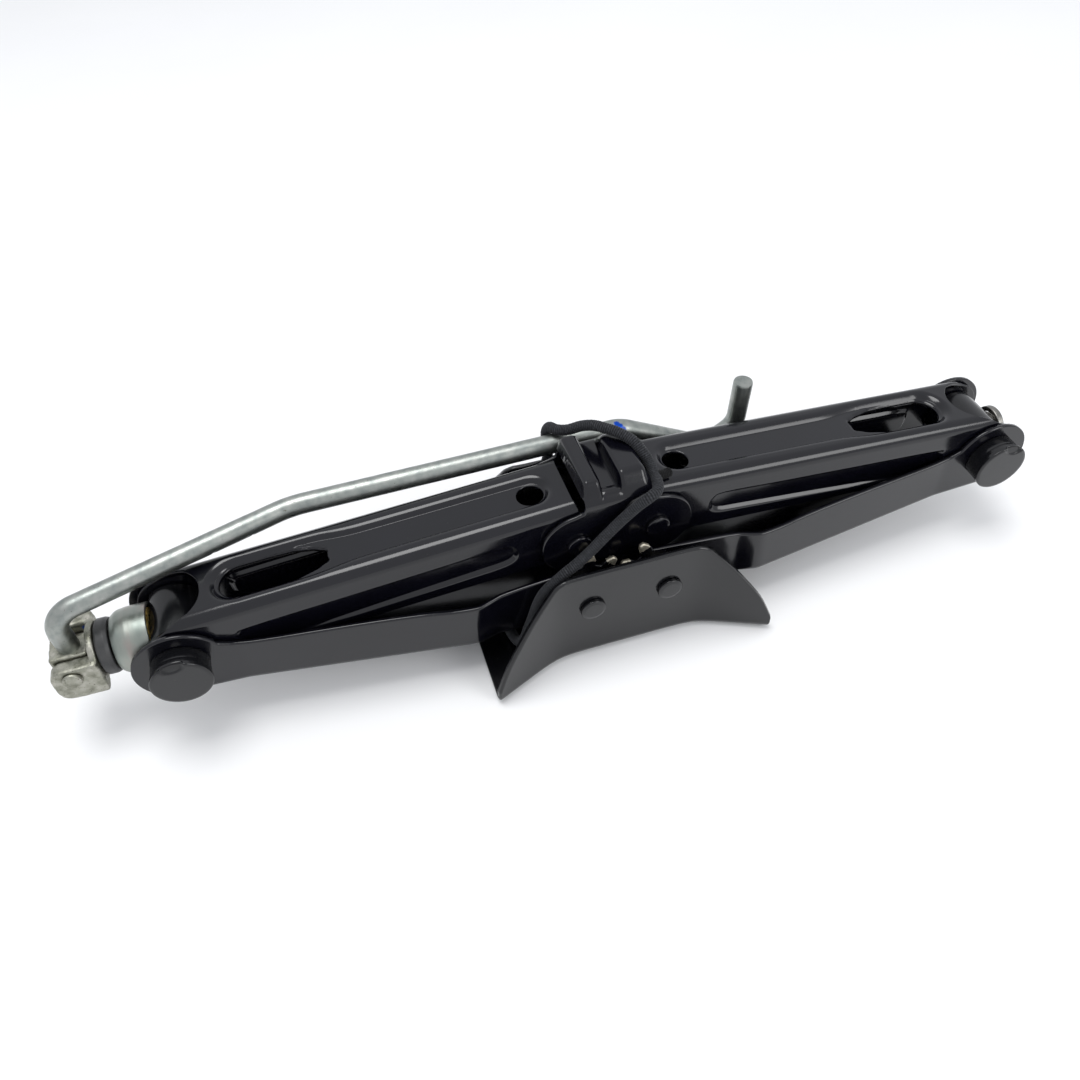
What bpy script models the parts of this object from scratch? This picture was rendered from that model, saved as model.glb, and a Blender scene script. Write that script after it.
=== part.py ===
"""Scissor car jack with a folding crank, closed and stowed.

Metres, +Z up.  The origin is at the middle of the base's underside.  The jack's length lies
along X, the screw's drive end is at -X, and the crank is folded back over the left arms.
"""
import math

import bmesh
import bpy
from mathutils import Matrix, Vector

# ---------------------------------------------------------------- driving dimensions
TRUNNION_X = 0.190          # trunnion axes, at rest
SCREW_Z = 0.045             # height of the screw's axis and of both trunnions
PIN_X = 0.018               # half the spacing of the base pins and of the saddle pins
PIN_DROP = 0.011            # base pins below, saddle pins above, the screw's axis
CLEARANCE = 0.0003          # gap between touching pieces

# ---------------------------------------------------------------- sheet-metal pieces
LOWER_SHEET = 0.0026
UPPER_SHEET = 0.0024
BASE_SHEET = 0.003
SADDLE_SHEET = 0.0026
EAR_HALF_WIDTH = 0.020      # outer faces of the lower ears and of the saddle
UPPER_HALF_WIDTH = 0.017    # outer faces of the upper arms
GEAR_HALF_WIDTH = 0.027     # outer faces of the lower arms beside the base pins
SHOULDER_HALF_WIDTH = 0.030     # widest part of the lower arms
LOWER_WEB = 0.021           # web's outer face from the line between an arm's two pivots
UPPER_WEB = 0.020
UPPER_WEB_SPAN = (-0.001, 0.162)        # along an arm from its inner pin
LOWER_WEB_SPAN = (0.012, 0.160)
WEB_BITE = 0.0055           # depth of the hollow in a web's outer end
UPPER_EAR_RADIUS = 0.0155
UPPER_EDGE = ((0.150, -0.010), (0.020, -0.010))
LOWER_EAR_CENTRE = (0.1727, 0.002)
LOWER_EAR_RADIUS = 0.019
LOWER_EDGE = ((0.150, -0.0045), (0.132, -0.0048), (0.094, -0.006), (0.072, -0.0059),
              (0.057, -0.005), (0.040, -0.0064), (0.013, -0.0112))
SHOULDER_START, SHOULDER_END, TAPER_END = 0.039, 0.048, 0.148
ROUND_HOLE = (0.0146, 0.0)
ROUND_HOLE_RADIUS = 0.006
TEARDROP_RADIUS = 0.0095
TEARDROP_ROUND_END = (0.1405, 0.0)
TEARDROP_SHOULDER = (0.119, 0.0)
TEARDROP_TIP = (0.1025, 0.0)

# ---------------------------------------------------------------- gear teeth at the arms' ends
TEETH_PER_TURN = 10
PITCH_RADIUS = PIN_X
TIP_RADIUS = 0.0206
ROOT_RADIUS = 0.0142
PRESSURE_ANGLE = math.radians(28)
BACKLASH = 0.0007
RIGHT_TEETH = (-9, 27, 63)              # degrees past the line between the two pins
LEFT_LOWER_TEETH = (9, 45, 81)
LEFT_UPPER_TEETH = (9, 45)

# ---------------------------------------------------------------- pins and trunnions
PIN_RADIUS = 0.004
BASE_HEAD_RADIUS = 0.00575
SADDLE_HEAD_RADIUS = 0.0055
HEAD_HEIGHT = 0.002
SPACER_RADIUS = 0.0065
BASE_WALL_Y = 0.038         # outer faces of the base's walls beside the pins
TRUNNION_RADIUS = 0.0125
TRUNNION_HALF_LENGTH = 0.0143
NECK_RADIUS = 0.009
CAP_RADIUS = 0.013
CAP_OUTER_Y = 0.0297
NECK_IN_CAP_Y = 0.024
KEEPER_RADIUS = 0.0115
KEEPER_THICKNESS = 0.0023
SPIGOT_RADIUS = 0.005
THRUST_FLAT = 0.009         # flat on the left trunnion, from its axis

# ---------------------------------------------------------------- screw, bearing and crank
SCREW_RADIUS = 0.006
SCREW_RIGHT_END = 0.2069
STOP_LEFT_FACE = 0.2030
STOP_THICKNESS = 0.0032
STOP_RADIUS = 0.0085
RACE_RADIUS = 0.0116
RACE_THICKNESS = 0.0032
BALL_RADIUS = 0.0021
BALL_CIRCLE = 0.0090
BALL_COUNT = 10
CAGE_THICKNESS = 0.0012
CAGE_INNER = 0.0072
CAGE_OUTER = 0.0110
CUP_RADIUS = 0.014
CUP_WALL = 0.0016
CUP_FLOOR_THICKNESS = 0.0042
CUP_DOME = ((0.0, 0.0095), (0.0009, 0.0118), (0.0032, 0.0133), (0.0067, CUP_RADIUS))
COLLAR_RADIUS = 0.012
COLLAR_THICKNESS = 0.0055
YOKE_DISC_THICKNESS = 0.003
YOKE_GAP = 0.0066           # inner faces of the yoke's prongs
YOKE_HALF_WIDTH = 0.0132
YOKE_REACH = 0.0085         # prongs' ends past the pin
YOKE_CORNER = 0.0055
FRONT_PRONG_Z = (0.032, 0.050)
REAR_PRONG_Z = (0.037, 0.055)
YOKE_PIN_HEAD_RADIUS = 0.0042
YOKE_PIN_HEAD = 0.0015
YOKE_PIN_X = -0.2325
YOKE_PIN_RADIUS = 0.003
TONGUE_HALF_WIDTH = 0.0062
TONGUE_RADIUS = 0.0076
TONGUE_TOP_Z = 0.0506
ROD_RADIUS = 0.0045
ROD_Y = 0.0275              # the stowed rod's straight run, beside the saddle
ROD_Z = 0.0731
CRANK_CORNERS = ((YOKE_PIN_X + 0.0003, 0, TONGUE_TOP_Z + CLEARANCE), (-0.2322, 0, 0.0699),
                 (-0.1330, 0.0262, 0.0736), (0.0180, ROD_Y, ROD_Z),
                 (0.0630, ROD_Y, 0.0495), (0.0778, ROD_Y, 0.0590), (0.0785, ROD_Y, 0.0838))
CRANK_BENDS = (0.016, 0.050, 0.018, 0.010, 0.010)
CORD_RADIUS = 0.0025
CORD_TAIL_RADIUS = 0.00225

# ---------------------------------------------------------------- saddle and base
SADDLE_TOP = 0.087
SADDLE_LOBE_RADIUS = 0.0165
SADDLE_HALF_COLUMN = 0.014
SADDLE_CAP_BOTTOM = 0.0765
GROOVE_FLOOR = 0.0795
GROOVE_LEFT, GROOVE_RIGHT = -0.008, 0.002
BLOCK_CHAMFER = 0.0035      # the cord bears on the block's right edge, which is cut back
BLOCK_CHAMFER_DROP = 0.0045
SLOPE_INNER_Y, SLOPE_OUTER_Y = 0.0161, 0.0215     # the block's ends slope down between these
CORNER_CUT = 0.0015
BASE_HALF_LENGTH = 0.066
BASE_STRAIGHT_HALF = 0.034  # the walls bend outwards beyond this
BASE_END_Y = 0.052
BASE_HEIGHT = 0.055
BASE_SIDE = ((0.066, 0), (0.0657, 0.008), (0.060, 0.021), (0.052, 0.033), (0.046, 0.041),
             (0.038, 0.050), (0.035, 0.0533), (0.031, BASE_HEIGHT))

BASE_PIN_Z = SCREW_Z - PIN_DROP
SADDLE_PIN_Z = SCREW_Z + PIN_DROP
ARM_LENGTH = math.hypot(TRUNNION_X - PIN_X, PIN_DROP)
REST_ANGLE = math.atan2(PIN_DROP, TRUNNION_X - PIN_X)

BLACK_PAINT = (0.012, 0.013, 0.016, 1)
ZINC = (0.50, 0.51, 0.49, 1)
CAST = (0.36, 0.35, 0.31, 1)
STEEL = (0.30, 0.30, 0.30, 1)
BRASS = (0.50, 0.36, 0.10, 1)
CORD_BLACK = (0.010, 0.010, 0.012, 1)


# ---------------------------------------------------------------- modelling helpers
def clear_scene():
    for obj in list(bpy.data.objects):
        bpy.data.objects.remove(obj, do_unlink=True)


def material(name, colour, roughness, metallic):
    made = bpy.data.materials.new(name)
    made.use_nodes = True
    shader = made.node_tree.nodes["Principled BSDF"]
    shader.inputs["Base Color"].default_value = colour
    shader.inputs["Roughness"].default_value = roughness
    shader.inputs["Metallic"].default_value = metallic
    return made


def mesh_object(name, bm):
    bmesh.ops.recalc_face_normals(bm, faces=bm.faces)
    mesh = bpy.data.meshes.new(name)
    bm.to_mesh(mesh)
    bm.free()
    obj = bpy.data.objects.new(name, mesh)
    bpy.context.scene.collection.objects.link(obj)
    return obj


def finish(obj, name, look):
    obj.name = name
    obj.data.name = name
    obj.data.materials.clear()
    obj.data.materials.append(material(name + "_look", *look))
    obj.data.shade_smooth()
    obj.data.set_sharp_from_angle(angle=math.radians(30))
    return obj


def boolean(target, tool, operation):
    """Apply an exact Boolean of tool to target, and remove tool."""
    modifier = target.modifiers.new("boolean", "BOOLEAN")
    modifier.operation = operation
    modifier.solver = "EXACT"
    modifier.object = tool
    depsgraph = bpy.context.evaluated_depsgraph_get()
    result = bpy.data.meshes.new_from_object(target.evaluated_get(depsgraph))
    target.modifiers.clear()
    target.data = result
    bpy.data.objects.remove(tool, do_unlink=True)
    return target


def cut(target, *tools):
    for tool in tools:
        boolean(target, tool, "DIFFERENCE")
    return target


def join(target, *tools):
    for tool in tools:
        boolean(target, tool, "UNION")
    return target


def place(obj, matrix):
    obj.data.transform(matrix)
    if matrix.determinant() < 0:
        obj.data.flip_normals()
    return obj


def prism(outline, axis, low, high):
    """Extrude a closed outline along an axis: (x, y) along Z, (x, z) along Y, (y, z) along X."""
    lift = {"Z": lambda p, h: (p[0], p[1], h),
            "Y": lambda p, h: (p[0], h, p[1]),
            "X": lambda p, h: (h, p[0], p[1])}[axis]
    bm = bmesh.new()
    bottom = [bm.verts.new(lift(p, low)) for p in outline]
    top = [bm.verts.new(lift(p, high)) for p in outline]
    bm.faces.new(bottom)
    bm.faces.new(reversed(top))
    for i in range(len(outline)):
        j = (i + 1) % len(outline)
        bm.faces.new((bottom[i], bottom[j], top[j], top[i]))
    return mesh_object("prism", bm)


def turned(profile, axis, centre, segments=32):
    """Turn a profile of (position along axis, radius) points; a radius of 0 closes an end."""
    to_world = {"X": lambda a, u, v: (a, u, v),
                "Y": lambda a, u, v: (u, a, v)}[axis]
    bm = bmesh.new()
    rings = []
    for along, radius in profile:
        if radius == 0:
            rings.append([bm.verts.new(Vector(to_world(along, 0, 0)) + Vector(centre))])
            continue
        ring = []
        for k in range(segments):
            angle = math.tau * (k + 0.5) / segments
            point = to_world(along, radius * math.cos(angle), radius * math.sin(angle))
            ring.append(bm.verts.new(Vector(point) + Vector(centre)))
        rings.append(ring)
    closed = profile[0][1] > 0
    pairs = list(zip(rings, rings[1:]))
    if closed:
        pairs.append((rings[-1], rings[0]))
    for first, second in pairs:
        for k in range(segments):
            n = (k + 1) % segments
            corners = [first[k % len(first)], first[n % len(first)],
                       second[n % len(second)], second[k % len(second)]]
            bm.faces.new(list(dict.fromkeys(corners)))
    return mesh_object("turned", bm)


def rod(axis, low, high, radius, centre, segments=24):
    return turned([(low, 0), (low, radius), (high, radius), (high, 0)], axis, centre, segments)


def arc(centre, radius, start, end, steps):
    """Points on an arc, angles in degrees, from start to end inclusive."""
    points = []
    for k in range(steps + 1):
        angle = math.radians(start + (end - start) * k / steps)
        points.append((centre[0] + radius * math.cos(angle), centre[1] + radius * math.sin(angle)))
    return points


def lerp_table(table, value):
    for (a, first), (b, second) in zip(table, table[1:]):
        if value <= b:
            return first + (second - first) * max(0.0, (value - a) / (b - a))
    return table[-1][1]


def smooth_path(points, closed, steps):
    """Points along a Catmull-Rom curve through the given points."""
    count = len(points)
    spans = count if closed else count - 1
    result = []
    for i in range(spans):
        if closed:
            p = [Vector(points[(i + k) % count]) for k in (-1, 0, 1, 2)]
        else:
            p = [Vector(points[min(max(i + k, 0), count - 1)]) for k in (-1, 0, 1, 2)]
        for k in range(steps):
            t = k / steps
            result.append(0.5 * (2 * p[1] + (p[2] - p[0]) * t
                                 + (2 * p[0] - 5 * p[1] + 4 * p[2] - p[3]) * t * t
                                 + (3 * p[1] - p[0] - 3 * p[2] + p[3]) * t ** 3))
    if not closed:
        result.append(Vector(points[-1]))
    return result


def filleted_path(corners, radii, steps=6):
    """A polyline whose inner corners are rounded to the given bend radii."""
    path = [Vector(corners[0])]
    for before, corner, after, radius in zip(corners, corners[1:], corners[2:], radii):
        corner = Vector(corner)
        to_before = (Vector(before) - corner).normalized()
        to_after = (Vector(after) - corner).normalized()
        half = to_before.angle(to_after) / 2
        reach = radius / math.tan(half)
        middle = corner + (to_before + to_after).normalized() * (radius / math.sin(half))
        start = corner + to_before * reach - middle
        end = corner + to_after * reach - middle
        sweep = start.angle(end)
        for k in range(steps + 1):
            t = k / steps
            weight_start = math.sin((1 - t) * sweep) / math.sin(sweep)
            weight_end = math.sin(t * sweep) / math.sin(sweep)
            path.append(middle + start * weight_start + end * weight_end)
    path.append(Vector(corners[-1]))
    return path


def tube(name, path, radius, closed, look, resolution=2):
    """A round tube as a curve object with a bevel."""
    curve = bpy.data.curves.new(name, "CURVE")
    curve.dimensions = "3D"
    curve.bevel_depth = radius
    curve.bevel_resolution = resolution
    curve.use_fill_caps = True
    spline = curve.splines.new("POLY")
    spline.points.add(len(path) - 1)
    for point, place_at in zip(spline.points, path):
        point.co = (*place_at, 1)
    spline.use_cyclic_u = closed
    spline.use_smooth = True
    obj = bpy.data.objects.new(name, curve)
    bpy.context.scene.collection.objects.link(obj)
    curve.materials.append(material(name + "_look", *look))
    return obj


# ---------------------------------------------------------------- arms
# An arm is drawn in its own frame: X from the inner pin towards the trunnion, Y as in the
# world, and Z towards the side that its web is on.
def arm_matrix(side, level):
    """Arm frame to world; side is +1 right or -1 left, level +1 upper or -1 lower."""
    along = Vector((side * math.cos(REST_ANGLE), 0, -level * math.sin(REST_ANGLE)))
    out = Vector((side * math.sin(REST_ANGLE), 0, level * math.cos(REST_ANGLE)))
    pin = Vector((side * PIN_X, 0, SCREW_Z + level * PIN_DROP))
    matrix = Matrix.Identity(4)
    matrix.col[0][:3] = along
    matrix.col[2][:3] = out
    matrix.col[3][:3] = pin
    return matrix


def tooth_half_angle(radius):
    """Half a tooth's angle at a radius, on an involute flank."""
    base_radius = PITCH_RADIUS * math.cos(PRESSURE_ANGLE)
    involute = math.tan(PRESSURE_ANGLE) - PRESSURE_ANGLE
    half_at_pitch = math.pi / (2 * TEETH_PER_TURN) - BACKLASH / (2 * PITCH_RADIUS)
    if radius <= base_radius:
        return half_at_pitch + involute
    roll = math.acos(base_radius / radius)
    return half_at_pitch + involute - (math.tan(roll) - roll)


def toothed_end(teeth):
    """Outline of an arm's geared end, from its -Z side round to its +Z side."""
    flank_radii = (ROOT_RADIUS, 0.0159, 0.0175, 0.0191, TIP_RADIUS)
    contact = math.pi + REST_ANGLE
    points = arc((0, 0), ROOT_RADIUS, 270, 274, 1)[:1]
    for tooth in sorted(teeth, reverse=True):
        middle = contact + math.radians(tooth)
        for radius in flank_radii:
            angle = middle + tooth_half_angle(radius)
            points.append((radius * math.cos(angle), radius * math.sin(angle)))
        for radius in reversed(flank_radii):
            angle = middle - tooth_half_angle(radius)
            points.append((radius * math.cos(angle), radius * math.sin(angle)))
    last = math.degrees(contact + math.radians(min(teeth)) - tooth_half_angle(ROOT_RADIUS))
    points += arc((0, 0), ROOT_RADIUS, last - 8, 100, 5)
    return points


def flange(outline, widths, sheet, side):
    """A side flange bent to follow its table of half-widths."""
    plate = prism(outline, "Y", -sheet, 0)
    bm = bmesh.new()
    bm.from_mesh(plate.data)
    bpy.data.objects.remove(plate, do_unlink=True)
    for station, _ in widths[1:-1]:
        bmesh.ops.bisect_plane(bm, geom=bm.verts[:] + bm.edges[:] + bm.faces[:],
                               plane_co=(station, 0, 0), plane_no=(1, 0, 0))
    for vert in bm.verts:
        vert.co.y = side * (vert.co.y + lerp_table(widths, vert.co.x))
    return mesh_object("flange", bm)


def web_outline(start, end, widths, inset, bite):
    """Plan of an arm's web; its outer end is an arc that bites inwards."""
    stations = [start] + [x for x, _ in widths if start < x < end] + [end]
    edge = [(x, lerp_table(widths, x) - inset) for x in stations]
    half = edge[-1][1]
    curve = [(end - bite * math.cos(math.pi * k / 12), half * math.sin(math.pi * k / 12))
             for k in range(-5, 6)]
    return [(x, -y) for x, y in edge] + curve + [(x, y) for x, y in reversed(edge)]


def arm(name, side, level, teeth):
    upper = level > 0
    sheet = UPPER_SHEET if upper else LOWER_SHEET
    web = UPPER_WEB if upper else LOWER_WEB
    before, beyond = -0.1, 0.3
    if upper:
        start, end = UPPER_WEB_SPAN
        widths = [(before, UPPER_HALF_WIDTH), (beyond, UPPER_HALF_WIDTH)]
        outline = toothed_end(teeth) + [(start, web), (end, web)]
        outline += arc((ARM_LENGTH, 0), UPPER_EAR_RADIUS, 60, -130, 14) + list(UPPER_EDGE)
    else:
        start, end = LOWER_WEB_SPAN
        widths = [(before, GEAR_HALF_WIDTH), (SHOULDER_START, GEAR_HALF_WIDTH),
                  (SHOULDER_END, SHOULDER_HALF_WIDTH), (TAPER_END, EAR_HALF_WIDTH),
                  (beyond, EAR_HALF_WIDTH)]
        outline = toothed_end(teeth) + [(start, web), (LOWER_EAR_CENTRE[0], web)]
        outline += arc(LOWER_EAR_CENTRE, LOWER_EAR_RADIUS, 75, -150, 15) + list(LOWER_EDGE)
    plan = web_outline(start, end, widths, sheet / 2, WEB_BITE)
    body = prism(plan, "Z", web - sheet, web)
    join(body, flange(outline, widths, sheet, 1), flange(outline, widths, sheet, -1))
    full = 0.04
    cut(body,
        rod("Y", -full, full, PIN_RADIUS + CLEARANCE, (0, 0, 0)),
        rod("Y", -full, full, NECK_RADIUS + CLEARANCE, (ARM_LENGTH, 0, 0), 32))
    if upper:
        teardrop = arc(TEARDROP_ROUND_END, TEARDROP_RADIUS, -90, 90, 10)
        teardrop += arc(TEARDROP_SHOULDER, TEARDROP_RADIUS, 90, 110, 2) + [TEARDROP_TIP]
        teardrop += arc(TEARDROP_SHOULDER, TEARDROP_RADIUS, 250, 270, 2)
        low, high = web / 2, web + 0.010
        cut(body,
            prism(teardrop, "Z", low, high),
            prism(arc(ROUND_HOLE, ROUND_HOLE_RADIUS, 0, 345, 23), "Z", web - 2 * sheet, high))
    place(body, arm_matrix(side, level))
    return finish(body, name, (BLACK_PAINT, 0.28, 0.0))


# ---------------------------------------------------------------- base
def bow_tie(inset):
    """Plan of the base, its side edges set in by a distance."""
    half = BASE_WALL_Y - inset
    end = BASE_END_Y - inset * 1.085
    x_end, x_bend = BASE_HALF_LENGTH, BASE_STRAIGHT_HALF
    side = [(-x_end, -end), (-x_bend, -half), (x_bend, -half), (x_end, -end)]
    return side + [(-x, -y) for x, y in side]


def base_plate():
    profile = list(BASE_SIDE) + [(-x, z) for x, z in reversed(BASE_SIDE)]
    walls = cut(prism(bow_tie(0), "Z", 0, BASE_HEIGHT + 0.005),
                prism([(x * 1.1, y) for x, y in bow_tie(BASE_SHEET)], "Z", BASE_SHEET, 0.07))
    boolean(walls, prism(profile, "Y", -0.06, 0.06), "INTERSECT")
    for x in (-PIN_X, PIN_X):
        cut(walls, rod("Y", -0.06, 0.06, PIN_RADIUS + CLEARANCE, (x, 0, BASE_PIN_Z)))
    return finish(walls, "base_plate", (BLACK_PAINT, 0.35, 0.0))


def headed_pin(name, x, z, half, head_radius):
    """A rivet through both sides, with a flat round head on each end."""
    outer = half + CLEARANCE
    end = outer + HEAD_HEIGHT
    soft = head_radius - 0.0005
    profile = [(-end, 0), (-end, soft), (-end + 0.0005, head_radius), (-outer, head_radius),
               (-outer, PIN_RADIUS), (outer, PIN_RADIUS), (outer, head_radius),
               (end - 0.0005, head_radius), (end, soft), (end, 0)]
    return finish(turned(profile, "Y", (x, 0, z), 24), name, (BLACK_PAINT, 0.35, 0.0))


def base_pin_spacer(name, side, end):
    """One of four sleeves that hold the arms midway between the base's walls."""
    inner, outer = PIN_RADIUS + CLEARANCE, SPACER_RADIUS
    near = end * (GEAR_HALF_WIDTH + CLEARANCE)
    far = end * (BASE_WALL_Y - BASE_SHEET - CLEARANCE)
    profile = [(near, inner), (near, outer), (far, outer), (far, inner)]
    sleeve = turned(profile, "Y", (side * PIN_X, 0, BASE_PIN_Z), 24)
    return finish(sleeve, name, (STEEL, 0.4, 1.0))


# ---------------------------------------------------------------- trunnions
def trunnion(name, side):
    """Cross shaft that the arms' ears turn on, with a bore for the screw."""
    shaft = TRUNNION_HALF_LENGTH
    rear = EAR_HALF_WIDTH + CLEARANCE
    profile = [(-NECK_IN_CAP_Y, 0), (-NECK_IN_CAP_Y, NECK_RADIUS), (-shaft, NECK_RADIUS),
               (-shaft, TRUNNION_RADIUS), (shaft, TRUNNION_RADIUS), (shaft, NECK_RADIUS),
               (rear - CLEARANCE, NECK_RADIUS), (rear - CLEARANCE, SPIGOT_RADIUS),
               (rear + KEEPER_THICKNESS, SPIGOT_RADIUS), (rear + KEEPER_THICKNESS, 0)]
    body = turned(profile, "Y", (side * TRUNNION_X, 0, SCREW_Z), 32)
    cut(body, rod("X", -0.3, 0.3, SCREW_RADIUS + CLEARANCE, (0, 0, SCREW_Z)))
    if side < 0:
        face = -TRUNNION_X - THRUST_FLAT
        square = [(-0.03, 0.02), (0.03, 0.02), (0.03, 0.07), (-0.03, 0.07)]
        cut(body, prism(square, "X", face - 0.02, face))
    return finish(body, name, (BLACK_PAINT, 0.35, 0.0))


def trunnion_cap(name, side):
    """Thick round head pressed on the front end of a trunnion."""
    inner = EAR_HALF_WIDTH + CLEARANCE
    floor = NECK_IN_CAP_Y + CLEARANCE
    bore = NECK_RADIUS + CLEARANCE
    profile = [(-CAP_OUTER_Y, 0), (-CAP_OUTER_Y, CAP_RADIUS - 0.0006),
               (-CAP_OUTER_Y + 0.0006, CAP_RADIUS), (-inner, CAP_RADIUS), (-inner, bore),
               (-floor, bore), (-floor, 0)]
    cap = turned(profile, "Y", (side * TRUNNION_X, 0, SCREW_Z), 40)
    return finish(cap, name, (BLACK_PAINT, 0.35, 0.0))


def trunnion_keeper(name, side):
    """Flat washer riveted over the trunnion's rear end."""
    low = EAR_HALF_WIDTH + CLEARANCE
    high = low + KEEPER_THICKNESS
    bore = SPIGOT_RADIUS + CLEARANCE
    profile = [(low, bore), (low, KEEPER_RADIUS), (high, KEEPER_RADIUS), (high, bore)]
    washer = turned(profile, "Y", (side * TRUNNION_X, 0, SCREW_Z), 32)
    return finish(washer, name, (BLACK_PAINT, 0.35, 0.0))


# ---------------------------------------------------------------- saddle
def saddle():
    """Two lobed side plates under a pressed top with a rib, a groove and a raised block."""
    left, right = (-PIN_X, SADDLE_PIN_Z), (PIN_X, SADDLE_PIN_Z)
    column, top, lobe = SADDLE_HALF_COLUMN, SADDLE_TOP, SADDLE_LOBE_RADIUS
    shoulder = SADDLE_PIN_Z + lobe
    foot = [(column + 0.001, shoulder + 0.0012), (column, shoulder + 0.003)]
    outline = arc(left, lobe, 90, 290, 16) + arc(right, lobe, 250, 450, 16)
    outline += foot + [(column, GROOVE_FLOOR), (-column, GROOVE_FLOOR)]
    outline += [(-x, z) for x, z in reversed(foot)]
    inner = EAR_HALF_WIDTH - SADDLE_SHEET
    cap = [(-column, SADDLE_CAP_BOTTOM), (column, SADDLE_CAP_BOTTOM),
           (column, top - BLOCK_CHAMFER_DROP), (column - BLOCK_CHAMFER, top),
           (GROOVE_RIGHT, top), (GROOVE_RIGHT, GROOVE_FLOOR), (GROOVE_LEFT, GROOVE_FLOOR),
           (GROOVE_LEFT, top), (-column + 0.001, top), (-column, top - 0.001)]
    body = prism(cap, "Y", -EAR_HALF_WIDTH, EAR_HALF_WIDTH)
    join(body, prism(outline, "Y", inner, EAR_HALF_WIDTH),
         prism(outline, "Y", -EAR_HALF_WIDTH, -inner))
    for end in (-1, 1):
        slope = [(end * SLOPE_INNER_Y, top + 0.001), (end * SLOPE_OUTER_Y, top + 0.001),
                 (end * SLOPE_OUTER_Y, GROOVE_FLOOR + 0.001)]
        cut(body, prism(slope, "X", GROOVE_RIGHT + 0.0001, column + 0.002))
        for side in (-1, 1):
            near, far = column - CORNER_CUT, EAR_HALF_WIDTH - CORNER_CUT
            corner = [(near, EAR_HALF_WIDTH), (column, far), (column + 0.002, far),
                      (column + 0.002, EAR_HALF_WIDTH + 0.002), (near, EAR_HALF_WIDTH + 0.002)]
            cut(body, prism([(side * x, end * y) for x, y in corner], "Z",
                            shoulder + 0.001, top + 0.003))
    for x in (-PIN_X, PIN_X):
        cut(body, rod("Y", -0.03, 0.03, PIN_RADIUS + CLEARANCE, (x, 0, SADDLE_PIN_Z)))
    return finish(body, "saddle", (BLACK_PAINT, 0.28, 0.0))


# ---------------------------------------------------------------- screw and thrust bearing
# Faces along the screw, from the left trunnion's flat outwards.
INNER_RACE_X = -TRUNNION_X - THRUST_FLAT - CLEARANCE
BALL_X = INNER_RACE_X - RACE_THICKNESS - CLEARANCE - BALL_RADIUS
OUTER_RACE_X = BALL_X - BALL_RADIUS - CLEARANCE
CUP_FLOOR_X = OUTER_RACE_X - RACE_THICKNESS - CLEARANCE
CUP_BACK_X = CUP_FLOOR_X - CUP_FLOOR_THICKNESS
COLLAR_X = CUP_BACK_X - CLEARANCE
YOKE_X = COLLAR_X - COLLAR_THICKNESS - CLEARANCE
ON_SCREW = (0, 0, SCREW_Z)
BORE = SCREW_RADIUS + CLEARANCE


def ring(name, x, thickness, radius, look, segments=32):
    profile = [(x, BORE), (x, radius), (x - thickness, radius), (x - thickness, BORE)]
    return finish(turned(profile, "X", ON_SCREW, segments), name, look)


def lead_screw():
    left = YOKE_X - YOKE_DISC_THICKNESS
    profile = [(left, 0), (left, SCREW_RADIUS), (SCREW_RIGHT_END - 0.0008, SCREW_RADIUS),
               (SCREW_RIGHT_END, SCREW_RADIUS - 0.0008), (SCREW_RIGHT_END, 0)]
    return finish(turned(profile, "X", ON_SCREW, 24), "lead_screw", (STEEL, 0.35, 1.0))


def ball_cage():
    """Ten balls held in a flat cage between the two races."""
    half = CAGE_THICKNESS / 2
    profile = [(BALL_X + half, CAGE_INNER), (BALL_X + half, CAGE_OUTER),
               (BALL_X - half, CAGE_OUTER), (BALL_X - half, CAGE_INNER)]
    cage = turned(profile, "X", ON_SCREW, 30)
    for k in range(BALL_COUNT):
        angle = math.tau * k / BALL_COUNT
        centre = (BALL_X, BALL_CIRCLE * math.cos(angle), SCREW_Z + BALL_CIRCLE * math.sin(angle))
        bm = bmesh.new()
        bmesh.ops.create_icosphere(bm, subdivisions=1, radius=BALL_RADIUS,
                                   matrix=Matrix.Translation(centre))
        join(cage, mesh_object("ball", bm))
    return finish(cage, "ball_cage", (STEEL, 0.2, 1.0))


def thrust_cup():
    """Pressed cup over the ball bearing, open towards the trunnion."""
    rim, back, wall = INNER_RACE_X + 0.0001, CUP_BACK_X, CUP_RADIUS - CUP_WALL
    profile = [(rim, wall), (CUP_FLOOR_X, wall - CLEARANCE), (CUP_FLOOR_X, BORE), (back, BORE)]
    profile += [(back + along, radius) for along, radius in CUP_DOME] + [(rim, CUP_RADIUS)]
    return finish(turned(profile, "X", ON_SCREW, 40), "thrust_cup", (ZINC, 0.35, 1.0))


def yoke_prong(low_y, low_z, high_z):
    near, far, corner = YOKE_X - 0.001, YOKE_PIN_X - YOKE_REACH, YOKE_CORNER
    outline = [(near, low_z), (near, high_z)]
    outline += arc((far + corner, high_z - corner), corner, 90, 180, 4)
    outline += arc((far + corner, low_z + corner), corner, 180, 270, 4)
    return prism(outline, "Y", low_y, low_y + YOKE_HALF_WIDTH - YOKE_GAP)


def screw_yoke():
    """Cast fork pinned on the screw's end; its two prongs are offset in height."""
    far = YOKE_X - YOKE_DISC_THICKNESS
    profile = [(YOKE_X, BORE), (YOKE_X, COLLAR_RADIUS), (far, COLLAR_RADIUS), (far, BORE)]
    body = turned(profile, "X", ON_SCREW, 32)
    join(body,
         yoke_prong(-YOKE_HALF_WIDTH, *FRONT_PRONG_Z),
         yoke_prong(YOKE_GAP, *REAR_PRONG_Z))
    bore = YOKE_PIN_RADIUS + CLEARANCE
    cut(body, rod("Y", -0.03, 0.03, bore, (YOKE_PIN_X, 0, SCREW_Z)))
    return finish(body, "screw_yoke", (CAST, 0.6, 0.9))


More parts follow.
